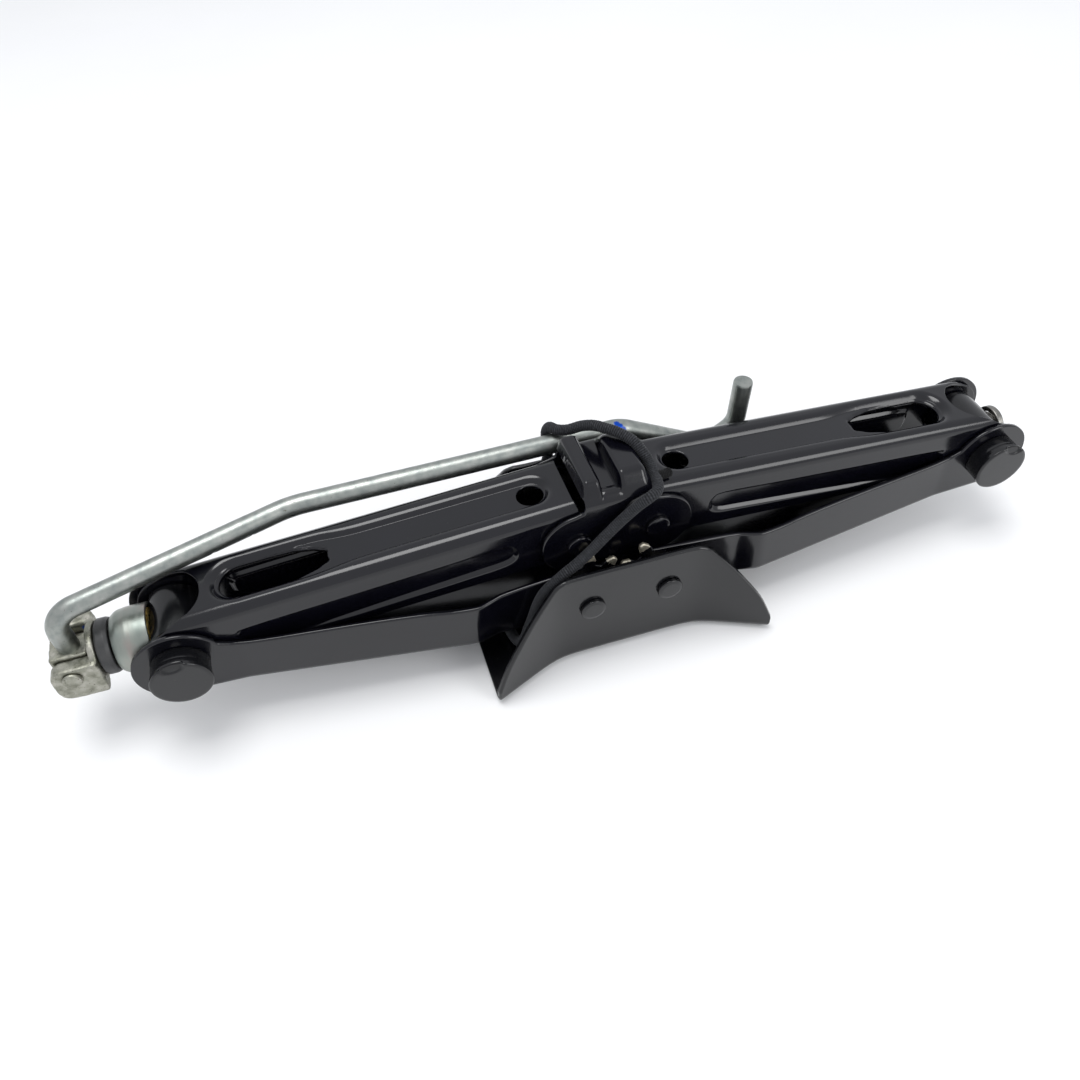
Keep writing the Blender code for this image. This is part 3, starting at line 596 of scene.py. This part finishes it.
def bore(channel, centre, radius, steps):
    """A round hole through both flanges."""
    hole = [(s, channel.across(out)) for s, out in circle(centre, radius, steps)]
    hole = hole[::-1] if area(hole) > 0 else hole
    return [hole, mirrored(hole)]


def pin_holes(channel, height):
    """Holes for the left and right pins."""
    return [hole for x in (-PIN_X, PIN_X)
            for hole in bore(channel, (x, height), PIN_HOLE_RADIUS, 24)]


def upper_pattern(teeth):
    """An upper arm's pressed channel, its flange's edge, its web's span and the web's holes."""
    bend = 0.0042
    ear = arc((ARM_LENGTH, 0), 0.0155, -130, 60, 30)
    edge = fillet([(0.020, -0.010), (0.146, -0.010)] + ear, [0.004, 0.004] + [0] * len(ear), False)
    edge = toothed_end(teeth)[::-1] + [tuple(p) for p in edge]
    channel = Channel(UPPER_WEB, UPPER_SHEET, bend,
                      lambda s: np.full(np.shape(s), UPPER_HALF_WIDTH),
                      UPPER_HALF_WIDTH - UPPER_SHEET / 2 - bend)
    run = [(0.0400, 0.0085), (0.0700, 0.0086), (0.0850, 0.0087), (0.0920, 0.0089),
           (0.0980, 0.0095), (0.1040, 0.0104), (0.1100, 0.0110), (0.1180, 0.0113),
           (0.1290, 0.0114)]
    run = [tuple(p) for p in catmull(run, False, 4)]
    trough = arc((0.0142, 0), 0.0084, 90, 270, 28)
    trough += [(s, -t) for s, t in run] + arc((0.1414, 0), 0.0114, -90, 90, 32) + run[::-1]
    nose = arc((0.1405, 0), 0.0088, -90, 90, 20)
    taper = [(0.127, 0.0088), (0.117, 0.0083), (0.1085, 0.0060), (0.1035, 0.0032)]
    drop = nose + taper + [(s, -t) for s, t in taper[::-1]]
    drop = catmull(resample(drop, 0.0035), True, 4)
    lip = drop - side_normals(drop) * 0.0008
    groove = [(0.0268, 0.0020), (0.0278, 0.0058), (0.033, 0.0080), (0.060, 0.0074),
              (0.100, 0.0067), (0.142, 0.0060), (0.1463, 0.0040), (0.1472, 0.0002),
              (0.1462, -0.0042), (0.140, -0.0074), (0.118, -0.0072), (0.077, -0.0051),
              (0.044, -0.0036), (0.033, -0.0030), (0.0283, -0.0012)]
    groove = [(s, channel.across(out)) for s, out in catmull(groove, True, 4)][::-1]
    channel.presses = [Press(trough, 0.0024, 0.0042, 1.5), Press(lip, 0.0004, 0.0008),
                       Press(groove, 0.0017, 0.0024), Press(mirrored(groove), 0.0017, 0.0024)]
    return channel, edge, (-0.001, 0.162), [circle((0.0146, 0), 0.0060), drop[::-1]]


def lower_pattern(teeth):
    """The same for a lower arm, which has no presses and narrows from its shoulder to its ears."""
    ear = arc((0.1727, 0.002), 0.019, -150, 75, 36)
    dip = [(0.013, -0.0112), (0.030, -0.0085), (0.040, -0.0064), (0.050, -0.0053),
           (0.060, -0.0050), (0.072, -0.0059), (0.094, -0.0060), (0.115, -0.0054),
           (0.132, -0.0048), (0.144, -0.0047), (0.151, -0.0056)]
    edge = toothed_end(teeth)[::-1] + [tuple(p) for p in catmull(dip, False, 3)] + ear
    knots = ((-0.1, GEAR_HALF_WIDTH), (0.0385, GEAR_HALF_WIDTH), (0.0485, SHOULDER_HALF_WIDTH),
             (0.148, EAR_HALF_WIDTH), (0.3, EAR_HALF_WIDTH))
    station = np.linspace(-0.03, 0.2, 461)
    window = np.hanning(15)
    table = np.pad(np.interp(station, *zip(*knots)), 7, "edge")
    table = np.convolve(table, window / window.sum(), "valid")
    channel = Channel(LOWER_WEB, LOWER_SHEET, 0.0032, lambda s: np.interp(s, station, table), 0.021)
    return channel, edge, (0.012, 0.160), []


def bare_tips(obj, side):
    """Bare metal on a lower arm's front tooth tips, from the wear radius outwards."""
    wear_radius, lowest, furthest = 0.0176, BASE_PIN_Z + 0.004, 0.030
    obj.data.materials.append(BARE)
    for face in obj.data.polygons:
        x, y, z = face.center
        away = math.hypot(x - side * PIN_X, z - BASE_PIN_Z)
        if away > wear_radius and z > lowest and abs(x) < furthest and y < 0:
            face.material_index = 1


def arm(name, side, level, teeth, body):
    """One pressed arm.  Its flat pattern runs from the inner pin at 0 to the trunnion."""
    channel, edge, span, holes = (upper_pattern if level > 0 else lower_pattern)(teeth)
    holes += bore(channel, (0, 0), PIN_HOLE_RADIUS, 28) + bore(channel, (ARM_LENGTH, 0), 0.0093, 36)
    obj = sheet(name + "_sheet", flat_pattern(channel, edge, *span, bite=0.0055), holes,
                np.arange(-0.021, 0.193, 0.0012), channel.rows(0.048, 0.0011), channel,
                channel.thickness, channel.lines(), place=arm_matrix(side, level))
    fit(obj, PAINT, body, "black_paint", name)
    if level < 0:
        bare_tips(obj, side)


RIGHT_TEETH, LEFT_LOWER_TEETH, LEFT_UPPER_TEETH = (-9, 27, 63), (9, 45, 81), (9, 45)
arm("upper_arm_right", 1, 1, RIGHT_TEETH, "upper_right")
arm("upper_arm_left", -1, 1, LEFT_UPPER_TEETH, "upper_left")
arm("lower_arm_right", 1, -1, RIGHT_TEETH, "lower_right")
arm("lower_arm_left", -1, -1, LEFT_LOWER_TEETH, "lower_left")


# ---------------- base
def base_plate():
    side = [(0.066, 0), (0.0657, 0.008), (0.060, 0.021), (0.052, 0.033), (0.046, 0.041),
            (0.038, 0.050), (0.035, 0.0533), (0.031, 0.055)]
    bend = 0.0035
    slope, straight, soft = 0.4375, 0.034, 0.0035

    def width(s):
        return BASE_WALL_Y + slope * soft * np.logaddexp(0, (np.abs(s) - straight) / soft)

    channel = Channel(0.0, BASE_SHEET, bend, width, 0.032, sign=-1.0)
    upper = [tuple(p) for p in catmull(side[1:], False, 4)]
    edge = [(-x, z) for x, z in upper] + [(x, z) for x, z in upper[::-1]]
    obj = sheet("base_plate_sheet", flat_pattern(channel, edge, -0.066, 0.066),
                pin_holes(channel, BASE_PIN_Z), np.arange(-0.0655, 0.066, 0.0013),
                channel.rows(0.053, 0.0013), channel, BASE_SHEET)
    fit(obj, DULL_PAINT, "base", "black_paint", "base_plate")


base_plate()


# ---------------- saddle
def saddle():
    bend, thickness = 0.0034, SADDLE_SHEET
    column, shoulder, lobe = 0.0150, 0.0735, 0.0165
    channel = Channel(0.0800, thickness, bend, lambda s: np.full(np.shape(s), EAR_HALF_WIDTH),
                      EAR_HALF_WIDTH - thickness / 2 - bend)

    def band(v, low, high, soft):
        return smooth((v - low) / soft + 0.5) * smooth((high - v) / soft + 0.5)

    def surface(p):
        s, y, z, angle, side = channel.base(p)
        rib = (band(s, -0.0140, -0.0080, 0.0015) * smooth((0.0172 - p[:, 1]) / 0.0040 + 0.5)
               * smooth((0.0158 + p[:, 1]) / 0.0056 + 0.5))
        lip = band(s, -0.0070, 0.0012, 0.0030) * band(p[:, 1], -0.0172, -0.0140, 0.0026)
        block = (smooth((s - 0.0024) / 0.0016 + 0.5) * smooth((0.0134 - s) / 0.0040 + 0.5)
                 * smooth((0.0140 - p[:, 1]) / 0.0080 + 0.5)
                 * smooth((0.0150 + p[:, 1]) / 0.0080 + 0.5))
        lift = 0.0064 * rib + 0.0066 * block + 0.0006 * lip
        return np.stack((s, y + side * np.sin(angle) * lift * 0.15, z + lift), 1)

    left, right = (-PIN_X, SADDLE_PIN_Z), (PIN_X, SADDLE_PIN_Z)
    lower = arc(left, lobe, 96, 290, 36) + arc(right, lobe, -110, 84, 36)
    neck = [(-column, 0.0790), (-column - 0.0001, 0.0758), (-column - 0.0009, shoulder + 0.0001)]
    edge = neck + lower + [(-s, z) for s, z in neck[::-1]]
    obj = sheet("saddle_sheet", flat_pattern(channel, edge, -column, column),
                pin_holes(channel, SADDLE_PIN_Z), np.arange(-0.0344, 0.0345, 0.0006),
                channel.rows(0.042, 0.0008), surface, thickness, edge=0.0005)
    fit(obj, PAINT, "saddle_body", "black_paint", "saddle")


saddle()


# ---------------- turned pieces
def lathe(name, profile, axis, centre, segments=72, steps=3, shape=None, flat_x=None):
    """Turn (position, radius, corner radius) points about an axis; ends on the axis close it."""
    closed = profile[0][1] > 0
    outline = fillet([p[:2] for p in profile], [p[2] for p in profile], closed, steps)
    verts, faces, rings = [], [], []
    turn = {"X": lambda a, u, v: (a, u, v), "Y": lambda a, u, v: (v, a, u)}[axis]
    for along, radius in outline:
        if radius < 1e-7:
            rings.append([len(verts)])
            verts.append(Vector(turn(along, 0, 0)) + Vector(centre))
            continue
        ring = []
        for k in range(segments):
            angle = math.tau * k / segments
            u, v = radius * math.cos(angle), radius * math.sin(angle)
            push = shape(along, u, v) if shape else 0.0
            ring.append(len(verts))
            verts.append(Vector(turn(along + push, u, v)) + Vector(centre))
        rings.append(ring)
    if flat_x is not None:
        for v in verts:
            v.x = max(v.x, flat_x)
    pairs = list(zip(rings, rings[1:])) + ([(rings[-1], rings[0])] if closed else [])
    for first, second in pairs:
        for k in range(segments):
            n = (k + 1) % segments
            quad = [first[k % len(first)], first[n % len(first)],
                    second[n % len(second)], second[k % len(second)]]
            quad = list(dict.fromkeys(quad))
            if len(quad) > 2:
                faces.append(quad)
    return soften(outward(mesh_object(name, verts, faces)), 40 if flat_x is not None else None)


def rivet(name, x, z, half, radius, look, body, node):
    """A pin with two flat heads, over walls at half from the middle."""
    end = half + 0.0003
    top = end + 0.0020
    profile = [(-top, 0, 0), (-top + 0.0001, radius * 0.72, 0.001), (-top + 0.0005, radius, 0.0006),
               (-end, radius, 0.0001), (-end, 0.004, 0), (end, 0.004, 0), (end, radius, 0.0001),
               (top - 0.0005, radius, 0.0006), (top - 0.0001, radius * 0.72, 0.001), (top, 0, 0)]
    obj = lathe(name, profile, "Y", (x, 0, z), 56)
    fit(obj, look, body, "black_paint", node)


SIDES = ((-1, "left"), (1, "right"))
for side, word in SIDES:
    rivet("base_rivet_" + word, side * PIN_X, BASE_PIN_Z, BASE_WALL_Y, 0.00575, DULL_PAINT,
          "base", "base_pin_" + word)
    rivet("saddle_rivet_" + word, side * PIN_X, SADDLE_PIN_Z, EAR_HALF_WIDTH, 0.0055, PAINT,
          "saddle_body", "saddle_pin_" + word)


def stake_mark(side):
    """A slanting oval facet staked across the rim of a cap's face."""
    rim_u, rim_v = 0.0111, 0.0010 + side * 0.0020
    reach = math.hypot(rim_u, rim_v)
    out_u, out_v = rim_u / reach, rim_v / reach

    def push(along, u, v):
        if along > -0.0290:
            return 0.0
        out = u * out_u + v * out_v
        across = v * out_u - u * out_v
        away = math.hypot(across / 0.0046, (out - reach) / 0.0031)
        depth = 0.0006 + 0.0009 * float(smooth((out - 0.0082) / 0.0042))
        return depth * float(smooth((1.0 - away) / 0.24 + 0.5))
    return push


def trunnions():
    for side, word in SIDES:
        centre = (side * TRUNNION_X, 0, SCREW_Z)
        body = word + "_trunnion"
        rear = EAR_HALF_WIDTH + 0.0003
        journal, barrel, half = TRUNNION_FLAT, 0.0125, 0.0143
        shaft = [(-0.024, 0, 0), (-0.024, journal, 0), (-half, journal, 0.0003),
                 (-half, barrel, 0.0008), (half, barrel, 0.0008), (half, journal, 0.0003),
                 (rear, journal, 0), (rear, 0.005, 0), (rear + 0.0023, 0.005, 0.0004),
                 (rear + 0.0023, 0, 0)]
        obj = lathe("trunnion_shaft_" + word, shaft, "Y", centre, 96,
                    flat_x=-TRUNNION_X - TRUNNION_FLAT if side < 0 else None)
        fit(obj, DULL_PAINT, body, "black_paint", "trunnion_" + word)
        face = -0.0297
        cap = [(face, 0, 0)]
        cap += [(face, r, 0) for r in np.arange(0.0004, 0.0114, 0.0004)]
        cap += [(face + 0.0001, 0.0120, 0), (face + 0.0006, 0.0124, 0.0004),
                (face + 0.0022, 0.0123, 0.0005), (face + 0.0044, 0.0119, 0.0008),
                (-rear, 0.0118, 0), (-rear, 0.0093, 0), (-0.0243, 0.0093, 0), (-0.0243, 0, 0)]
        obj = lathe("trunnion_head_" + word, cap, "Y", centre, 96, shape=stake_mark(side))
        fit(obj, DULL_PAINT, body, "black_paint", "trunnion_cap_" + word)
        washer = [(rear, 0.0053, 0), (rear, 0.0115, 0.0002), (rear + 0.0023, 0.0115, 0.0006),
                  (rear + 0.0023, 0.0053, 0.0002)]
        obj = lathe("trunnion_washer_" + word, washer, "Y", centre, 72)
        fit(obj, DULL_PAINT, body, "black_paint", "trunnion_keeper_" + word)


trunnions()

# ---------------- screw, bearing and cup
GAP = 0.0003
RACE_WIDTH, BALL_RADIUS, CUP_FLOOR, COLLAR_WIDTH, YOKE_PLATE = 0.0032, 0.0021, 0.0042, 0.0055, 0.003
INNER_RACE_X = -TRUNNION_X - TRUNNION_FLAT - GAP
BALL_X = INNER_RACE_X - RACE_WIDTH - GAP - BALL_RADIUS
OUTER_RACE_X = BALL_X - BALL_RADIUS - GAP
CUP_FLOOR_X = OUTER_RACE_X - RACE_WIDTH - GAP
CUP_BACK_X = CUP_FLOOR_X - CUP_FLOOR
COLLAR_X = CUP_BACK_X - GAP
YOKE_X = COLLAR_X - COLLAR_WIDTH - GAP
ON_SCREW = (0, 0, SCREW_Z)
BORE = 0.0063


def tube_faces(rings, around, closed=False):
    """Faces over rings of points, joined end to end or closed by two caps."""
    faces = []
    for i in range(rings if closed else rings - 1):
        j = (i + 1) % rings
        for k in range(around):
            m = (k + 1) % around
            faces.append((i * around + k, i * around + m, j * around + m, j * around + k))
    if not closed:
        faces.append(list(range(around))[::-1])
        faces.append([(rings - 1) * around + k for k in range(around)])
    return faces


def screw():
    """Rolled trapezoid thread, plain at both ends."""
    left, right, pitch = YOKE_X - YOKE_PLATE, 0.2069, 0.0035
    around, root, crest = 28, 0.0047, 0.0060
    stations = [(left, crest), (-0.1735, crest)]
    stations += [(x, None) for x in np.arange(-0.172, 0.2035, pitch / 10)]
    stations += [(0.2042, 0.0053), (right - 0.0008, 0.0053), (right, 0.0045)]
    verts = []
    for x, radius in stations:
        for k in range(around):
            angle = math.tau * k / around
            r = radius
            if r is None:
                phase = (x / pitch - k / around) % 1.0
                r = root + (crest - root) * float(np.clip((abs(phase - 0.5) - 0.14) / 0.16, 0, 1))
            verts.append((x, r * math.cos(angle), SCREW_Z + r * math.sin(angle)))
    obj = outward(mesh_object("screw_thread", verts, tube_faces(len(stations), around)))
    obj.data.shade_smooth()
    obj.data.set_sharp_from_angle(angle=math.radians(50))
    fit(obj, STEEL, "screw", "plain_steel", "lead_screw")


screw()


def plain_ring(name, start, end, radius, corner):
    """A plain ring on the screw."""
    profile = [(start, BORE, 0), (start, radius, corner), (end, radius, corner), (end, BORE, 0)]
    return lathe(name, profile, "X", ON_SCREW)


def thrust_set():
    fit(plain_ring("end_stop_ring", 0.2030, 0.2062, 0.0085, 0.0006), STEEL, "screw", "plain_steel",
        "screw_end_stop")
    x = INNER_RACE_X
    fit(plain_ring("inner_race_ring", x, x - RACE_WIDTH, 0.0116, 0.0008), BRASS, "left_trunnion",
        "yellow_plate", "inner_race")
    x = OUTER_RACE_X
    fit(plain_ring("outer_race_ring", x, x - RACE_WIDTH, 0.0116, 0.0006), STEEL, "screw",
        "plain_steel", "outer_race")
    rim, wall = INNER_RACE_X + 0.0001, 0.0124
    cup = [(rim, wall, 0.0004), (CUP_FLOOR_X, wall - 0.0003, 0.0006), (CUP_FLOOR_X, BORE, 0),
           (CUP_BACK_X, BORE, 0), (CUP_BACK_X, 0.0096, 0.0004),
           (CUP_BACK_X + 0.0006, 0.0118, 0.002), (CUP_BACK_X + 0.0028, 0.0134, 0.004),
           (CUP_BACK_X + 0.0070, 0.0140, 0.006), (rim, 0.0140, 0.0005)]
    fit(lathe("thrust_cup_shell", cup, "X", ON_SCREW, 96, 5), CUP_ZINC, "screw", "zinc_plate",
        "thrust_cup")
    x = COLLAR_X
    collar = [(x, BORE, 0), (x, 0.0114, 0.0006), (x - 0.0016, 0.0120, 0.001),
              (x - 0.0048, 0.0120, 0.0008), (x - 0.0055, 0.0112, 0.0004), (x - 0.0055, BORE, 0)]
    fit(lathe("thrust_collar_ring", collar, "X", ON_SCREW, 80), COLLAR, "screw",
        "black_rubber_collar", "thrust_collar")


thrust_set()


# ---------------- cast yoke and tongue
def slab(outline, low, high):
    """A plate across Y, as vertices and faces."""
    n = len(outline)
    verts = [(x, low, z) for x, z in outline] + [(x, high, z) for x, z in outline]
    faces = [list(range(n)), [n + k for k in range(n)][::-1]]
    faces += [[(k + 1) % n, k, n + k, n + (k + 1) % n] for k in range(n)]
    return verts, faces


def cast(name, solids, voxel, look, body, slot, nodes, rough=1.0, seed=0.0):
    """Merge solids, round their edges and give them a sand-cast skin."""
    verts, faces = [], []
    for more, more_faces in solids:
        first = len(verts)
        verts += more
        faces += [[first + i for i in f] for f in more_faces]
    obj = outward(mesh_object(name, verts, faces))
    remesh = obj.modifiers.new("merge", "REMESH")
    remesh.mode, remesh.voxel_size = "VOXEL", voxel
    relax = obj.modifiers.new("round", "SMOOTH")
    relax.factor, relax.iterations = 0.5, 4
    finer = obj.modifiers.new("finer", "SUBSURF")
    finer.levels = 1
    applied(obj)
    skin = []
    for v in [(v.co.copy(), v.normal.copy()) for v in obj.data.vertices]:
        push = (0.00013 * noise.noise(v[0] * 420 + Vector((seed, 0, 0)))
                + 0.00006 * noise.noise(v[0] * 1100 + Vector((0, seed, 0)))) * rough
        skin.extend(v[0] + v[1] * push)
    obj.data.vertices.foreach_set("co", skin)
    obj.data.shade_smooth()
    fit(obj, look, body, slot, *nodes)


def disc(x0, x1, radius):
    """A round plate across the screw, as vertices and faces."""
    n = 48
    edge = arc((0, SCREW_Z), radius, 0, 360 - 360 / n, n - 1)
    verts = [(x0, y, z) for y, z in edge] + [(x1, y, z) for y, z in edge]
    faces = [list(range(n)), [n + k for k in range(n)][::-1]]
    faces += [[k, (k + 1) % n, n + (k + 1) % n, n + k] for k in range(n)]
    return verts, faces


def prong(low_y, low_z, high_z):
    """One side of the yoke."""
    near, far, corner = YOKE_X - 0.0006, YOKE_PIN_X - 0.0085, 0.0055
    outline = [(near, low_z), (near, high_z)]
    outline += arc((far + corner, high_z - corner), corner, 90, 180, 8)
    outline += arc((far + corner, low_z + corner), corner, 180, 270, 8)
    return slab(outline, low_y, low_y + 0.0066)


cast("yoke_casting", [disc(YOKE_X - YOKE_PLATE, YOKE_X, 0.012), prong(-0.0132, 0.032, 0.050),
                      prong(0.0066, 0.037, 0.055)], 0.0008, CAST, "screw", "cast_steel",
     ["screw_yoke"], seed=3.1)
TONGUE_RADIUS = 0.0076
tongue = arc((YOKE_PIN_X, SCREW_Z), TONGUE_RADIUS, 180, 360, 24)
tongue += [(YOKE_PIN_X + TONGUE_RADIUS, 0.0506), (YOKE_PIN_X - TONGUE_RADIUS, 0.0506)]
cast("tongue_casting", [slab(tongue, -0.0062, 0.0062)], 0.0007, CAST, "crank", "cast_steel",
     ["crank_tongue"], rough=1.5, seed=7.7)
pin_end = 0.0150
pin = [(-pin_end, 0, 0), (-pin_end, 0.0036, 0.0006), (-0.0136, 0.0042, 0.0004),
       (-0.0135, 0.0030, 0), (0.0135, 0.0030, 0), (0.0136, 0.0042, 0.0004),
       (pin_end, 0.0036, 0.0006), (pin_end, 0, 0)]
fit(lathe("yoke_pin_turned", pin, "Y", (YOKE_PIN_X, 0, SCREW_Z), 48), CAST, "screw", "cast_steel",
    "yoke_pin")


# ---------------- crank rod and cord
def sweep(name, path, around, radius, closed, heights=None):
    """A tube along a path; radius is a function of (distance along, angle, point)."""
    path = [Vector(p) for p in path]
    n = len(path)
    tangents = []
    for i in range(n):
        before = path[i - 1] if (closed or i) else path[i]
        after = path[(i + 1) % n] if (closed or i < n - 1) else path[i]
        tangents.append((after - before).normalized())
    normal = tangents[0].orthogonal().normalized()
    frames, along = [], 0.0
    for i in range(n):
        normal = (normal - tangents[i] * normal.dot(tangents[i])).normalized()
        frames.append((normal.copy(), tangents[i].cross(normal), along))
        along += (path[(i + 1) % n] - path[i]).length
    twist = 0.0
    if closed:
        first = frames[0][0]
        back = (normal - tangents[0] * normal.dot(tangents[0])).normalized()
        twist = math.atan2(back.cross(first).dot(tangents[0]), back.dot(first))
    verts = []
    for i, (u, v, at) in enumerate(frames):
        for k in range(around):
            angle = math.tau * k / around
            turned = angle + twist * i / n
            direction = u * math.cos(turned) + v * math.sin(turned)
            reach = radius(at, angle, path[i] + direction * 0.004)
            verts.append(path[i] + direction * reach)
            if heights is not None:
                heights.append(reach)
    return outward(mesh_object(name, verts, tube_faces(n, around, closed)))


def even(path, step):
    """Points spaced evenly along a path."""
    p = np.array([tuple(v) for v in path])
    length = np.concatenate(([0], np.cumsum(np.linalg.norm(np.diff(p, axis=0), axis=1))))
    at = np.linspace(0, length[-1], max(2, round(length[-1] / step)) + 1)
    return np.stack([np.interp(at, length, p[:, k]) for k in range(3)], 1)


def crank():
    """The crank's round bar: sawn off at its end, with worn dents under its left run."""
    corners = [(YOKE_PIN_X + 0.0003, 0, 0.0500), (-0.2322, 0, 0.0699), (-0.1330, 0.0262, 0.0736),
               (0.0180, ROD_Y, ROD_Z), (0.0630, ROD_Y, 0.0495),
               (0.0778, ROD_Y, 0.0590), (0.0785, ROD_Y, 0.0838)]
    radii = (0, 0.016, 0.050, 0.018, 0.010, 0.010, 0)
    step, chamfer, worn = 0.0007, 0.0009, 0.18
    path = even(fillet(corners, radii, False, 14), step)
    total = len(path) * step

    def radius(along, angle, at):
        r = ROD_RADIUS
        left = total - along
        if left < chamfer:
            r -= chamfer - left
        n = noise.noise(at * 330)
        low = at.z < path[min(len(path) - 1, int(along / step))][2] - 0.0012
        if low and -0.205 < at.x < -0.150 and n > worn:
            r -= 0.0009 * (n - worn)
        return r + 0.00004 * noise.noise(at * 160)

    obj = sweep("crank_bar", path, 40, radius, False)
    obj.data.shade_smooth()
    obj.data.set_sharp_from_angle(angle=math.radians(40))
    fit(obj, ZINC, "crank", "zinc_plate", "crank_rod")


crank()

CORD_ROUTE = (
    (-0.0490, -0.0302, 0.0120), (-0.0515, -0.0200, 0.0090), (-0.0515, 0.0, 0.0088),
    (-0.0515, 0.0200, 0.0090), (-0.0495, 0.0302, 0.0120), (-0.0460, 0.0312, 0.0210),
    (-0.0395, 0.0314, 0.0300), (-0.0310, 0.0316, 0.0390), (-0.0230, 0.0320, 0.0470),
    (-0.0175, 0.0322, 0.0550), (-0.0150, 0.0325, 0.0620), (-0.0148, 0.0342, 0.0677),
    (-0.0150, 0.0348, 0.0738), (-0.0142, 0.0322, 0.0789), (-0.0122, 0.0275, 0.0807),
    (-0.0085, 0.0235, 0.0828), (-0.0035, 0.0195, 0.0868), (0.0005, 0.0152, 0.0895),
    (0.0042, 0.0110, 0.0903), (0.0086, 0.0068, 0.0901), (0.0133, 0.0017, 0.0883),
    (0.0161, -0.0030, 0.0852), (0.0179, -0.0072, 0.0818), (0.0180, -0.0125, 0.0799),
    (0.0173, -0.0177, 0.0797), (0.0155, -0.0219, 0.0797), (0.0112, -0.0240, 0.0790),
    (0.0065, -0.0238, 0.0755), (0.0000, -0.0238, 0.0697), (-0.0080, -0.0252, 0.0637),
    (-0.0153, -0.0272, 0.0588), (-0.0225, -0.0295, 0.0555), (-0.0293, -0.0308, 0.0518),
    (-0.0388, -0.0310, 0.0421), (-0.0448, -0.0310, 0.0240))
CORD_TAIL = ((0.0190, -0.0138, 0.0797), (0.0208, -0.0132, 0.0793), (0.0230, -0.0125, 0.0785),
             (0.0252, -0.0115, 0.0781))
CORD_STEP = 0.00021            # a few points to each rib of the weave


def braid(along, angle, at):
    """Fine cross ribs of an elastic cord's woven sleeve, each with its strands' knuckles."""
    rib = abs(math.sin(math.pi * along / 0.00095 + 0.5 * angle))
    knuckle = abs(math.sin(5 * angle - math.tau * along / 0.0038))
    return CORD_RADIUS - 0.00042 + 0.00032 * rib + 0.00010 * knuckle


def record_rib_shade(piece, heights):
    """Record how proud each point stands, for the painted shade between the ribs."""
    piece.data.shade_smooth()
    # heights from hollow to crest, 0 to 1, for the painted shade between the cord's ribs
    layer = piece.data.attributes.new("rib_shade_mask", "FLOAT", "POINT")
    low, high = CORD_RADIUS - 0.00032, CORD_RADIUS - 0.00006
    layer.data.foreach_set("value", [min(1, max(0, (h - low) / (high - low))) for h in heights])


def cord(name, path, radius, closed, node):
    """A cord swept along a path and carried on the base's body."""
    heights = []
    piece = sweep(name, path, 30, radius, closed, heights)
    record_rib_shade(piece, heights)
    fit(piece, CORD, "base", "black_cord", node)
    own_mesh(piece)


def cords():
    route = catmull(CORD_ROUTE, True, 12)
    route = even(np.vstack((route, route[:1])), CORD_STEP)[:-1]
    cord("elastic_cord_braid", route, braid, True, "elastic_cord")

    def tail_radius(along, angle, at):
        frayed = 1.0 + 0.12 * smooth((along - 0.005) / 0.003) * noise.noise(at * 900)
        return (braid(along, angle, at) - 0.0003) * frayed

    tail = even(catmull(CORD_TAIL, False, 8), CORD_STEP)
    cord("elastic_cord_tail", tail, tail_radius, False, "cord_tail")


cords()

# ---------------- carried-over CAD nodes
spacers = [f"base_pin_spacer_{a}_{b}" for a in ("left", "right") for b in ("front", "rear")]
for name in ["ball_cage"] + spacers:
    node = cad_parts[name]
    node.data.materials.clear()
    node.data.materials.append(STEEL)

# ---------------- floor, light and camera
corners = [(x, y, -0.0002) for x, y in ((-3, -3), (3, -3), (3, 3), (-3, 3))]
floor = mesh_object("floor", corners, [(0, 1, 2, 3)])
floor.data.materials.append(node_material("pale_floor", ((0.86, 0.86, 0.86), (0.89, 0.89, 0.89)),
                                          (0.7, 0.8), spread=3, rough_scale=5, specular=0.2))

world = bpy.data.worlds.new("studio")
world.use_nodes = True
sky = world.node_tree.nodes["Background"]
sky.inputs["Color"].default_value = (0.94, 0.96, 1.0, 1)
sky.inputs["Strength"].default_value = 0.86
bpy.context.scene.world = world


def area_light(name, place, target, size, power):
    data = bpy.data.lights.new(name, "AREA")
    data.shape, data.size, data.energy = "DISK", size, power
    lamp = bpy.data.objects.new(name, data)
    lamp.location = place
    lamp.rotation_euler = (Vector(target) - Vector(place)).to_track_quat("-Z", "Y").to_euler()
    bpy.context.scene.collection.objects.link(lamp)


area_light("overhead", (-0.15, 0.10, 1.30), (0, 0, 0.05), 0.7, 8)
area_light("front", (0.95, -1.10, 0.95), (0, 0, 0.04), 0.8, 7)

azimuth, elevation, roll = (math.radians(v) for v in (-15.09, 48.08, -2.9))
back = Vector((math.sin(azimuth) * math.cos(elevation), -math.cos(azimuth) * math.cos(elevation),
               math.sin(elevation)))
right = Vector((math.cos(azimuth), math.sin(azimuth), 0))
up = back.cross(right)
tilted_right = right * math.cos(roll) + up * math.sin(roll)
tilted_up = up * math.cos(roll) - right * math.sin(roll)
camera_data = bpy.data.cameras.new("camera")
camera_data.sensor_width = 36.0
camera_data.lens = 30.574
camera_data.shift_x, camera_data.shift_y = 0.01371, 0.00475
camera_data.clip_start = 0.01
camera = bpy.data.objects.new("camera", camera_data)
pose = Matrix.Identity(4)
for column, axis in enumerate((tilted_right, tilted_up, back)):
    pose.col[column][:3] = axis
looked_at, distance = Vector((-0.03682, 0, 0.04148)), 0.416
pose.col[3][:3] = looked_at + back * distance
camera.matrix_world = pose
bpy.context.scene.collection.objects.link(camera)
bpy.context.scene.camera = camera
bpy.context.scene.view_settings.view_transform = "Standard"
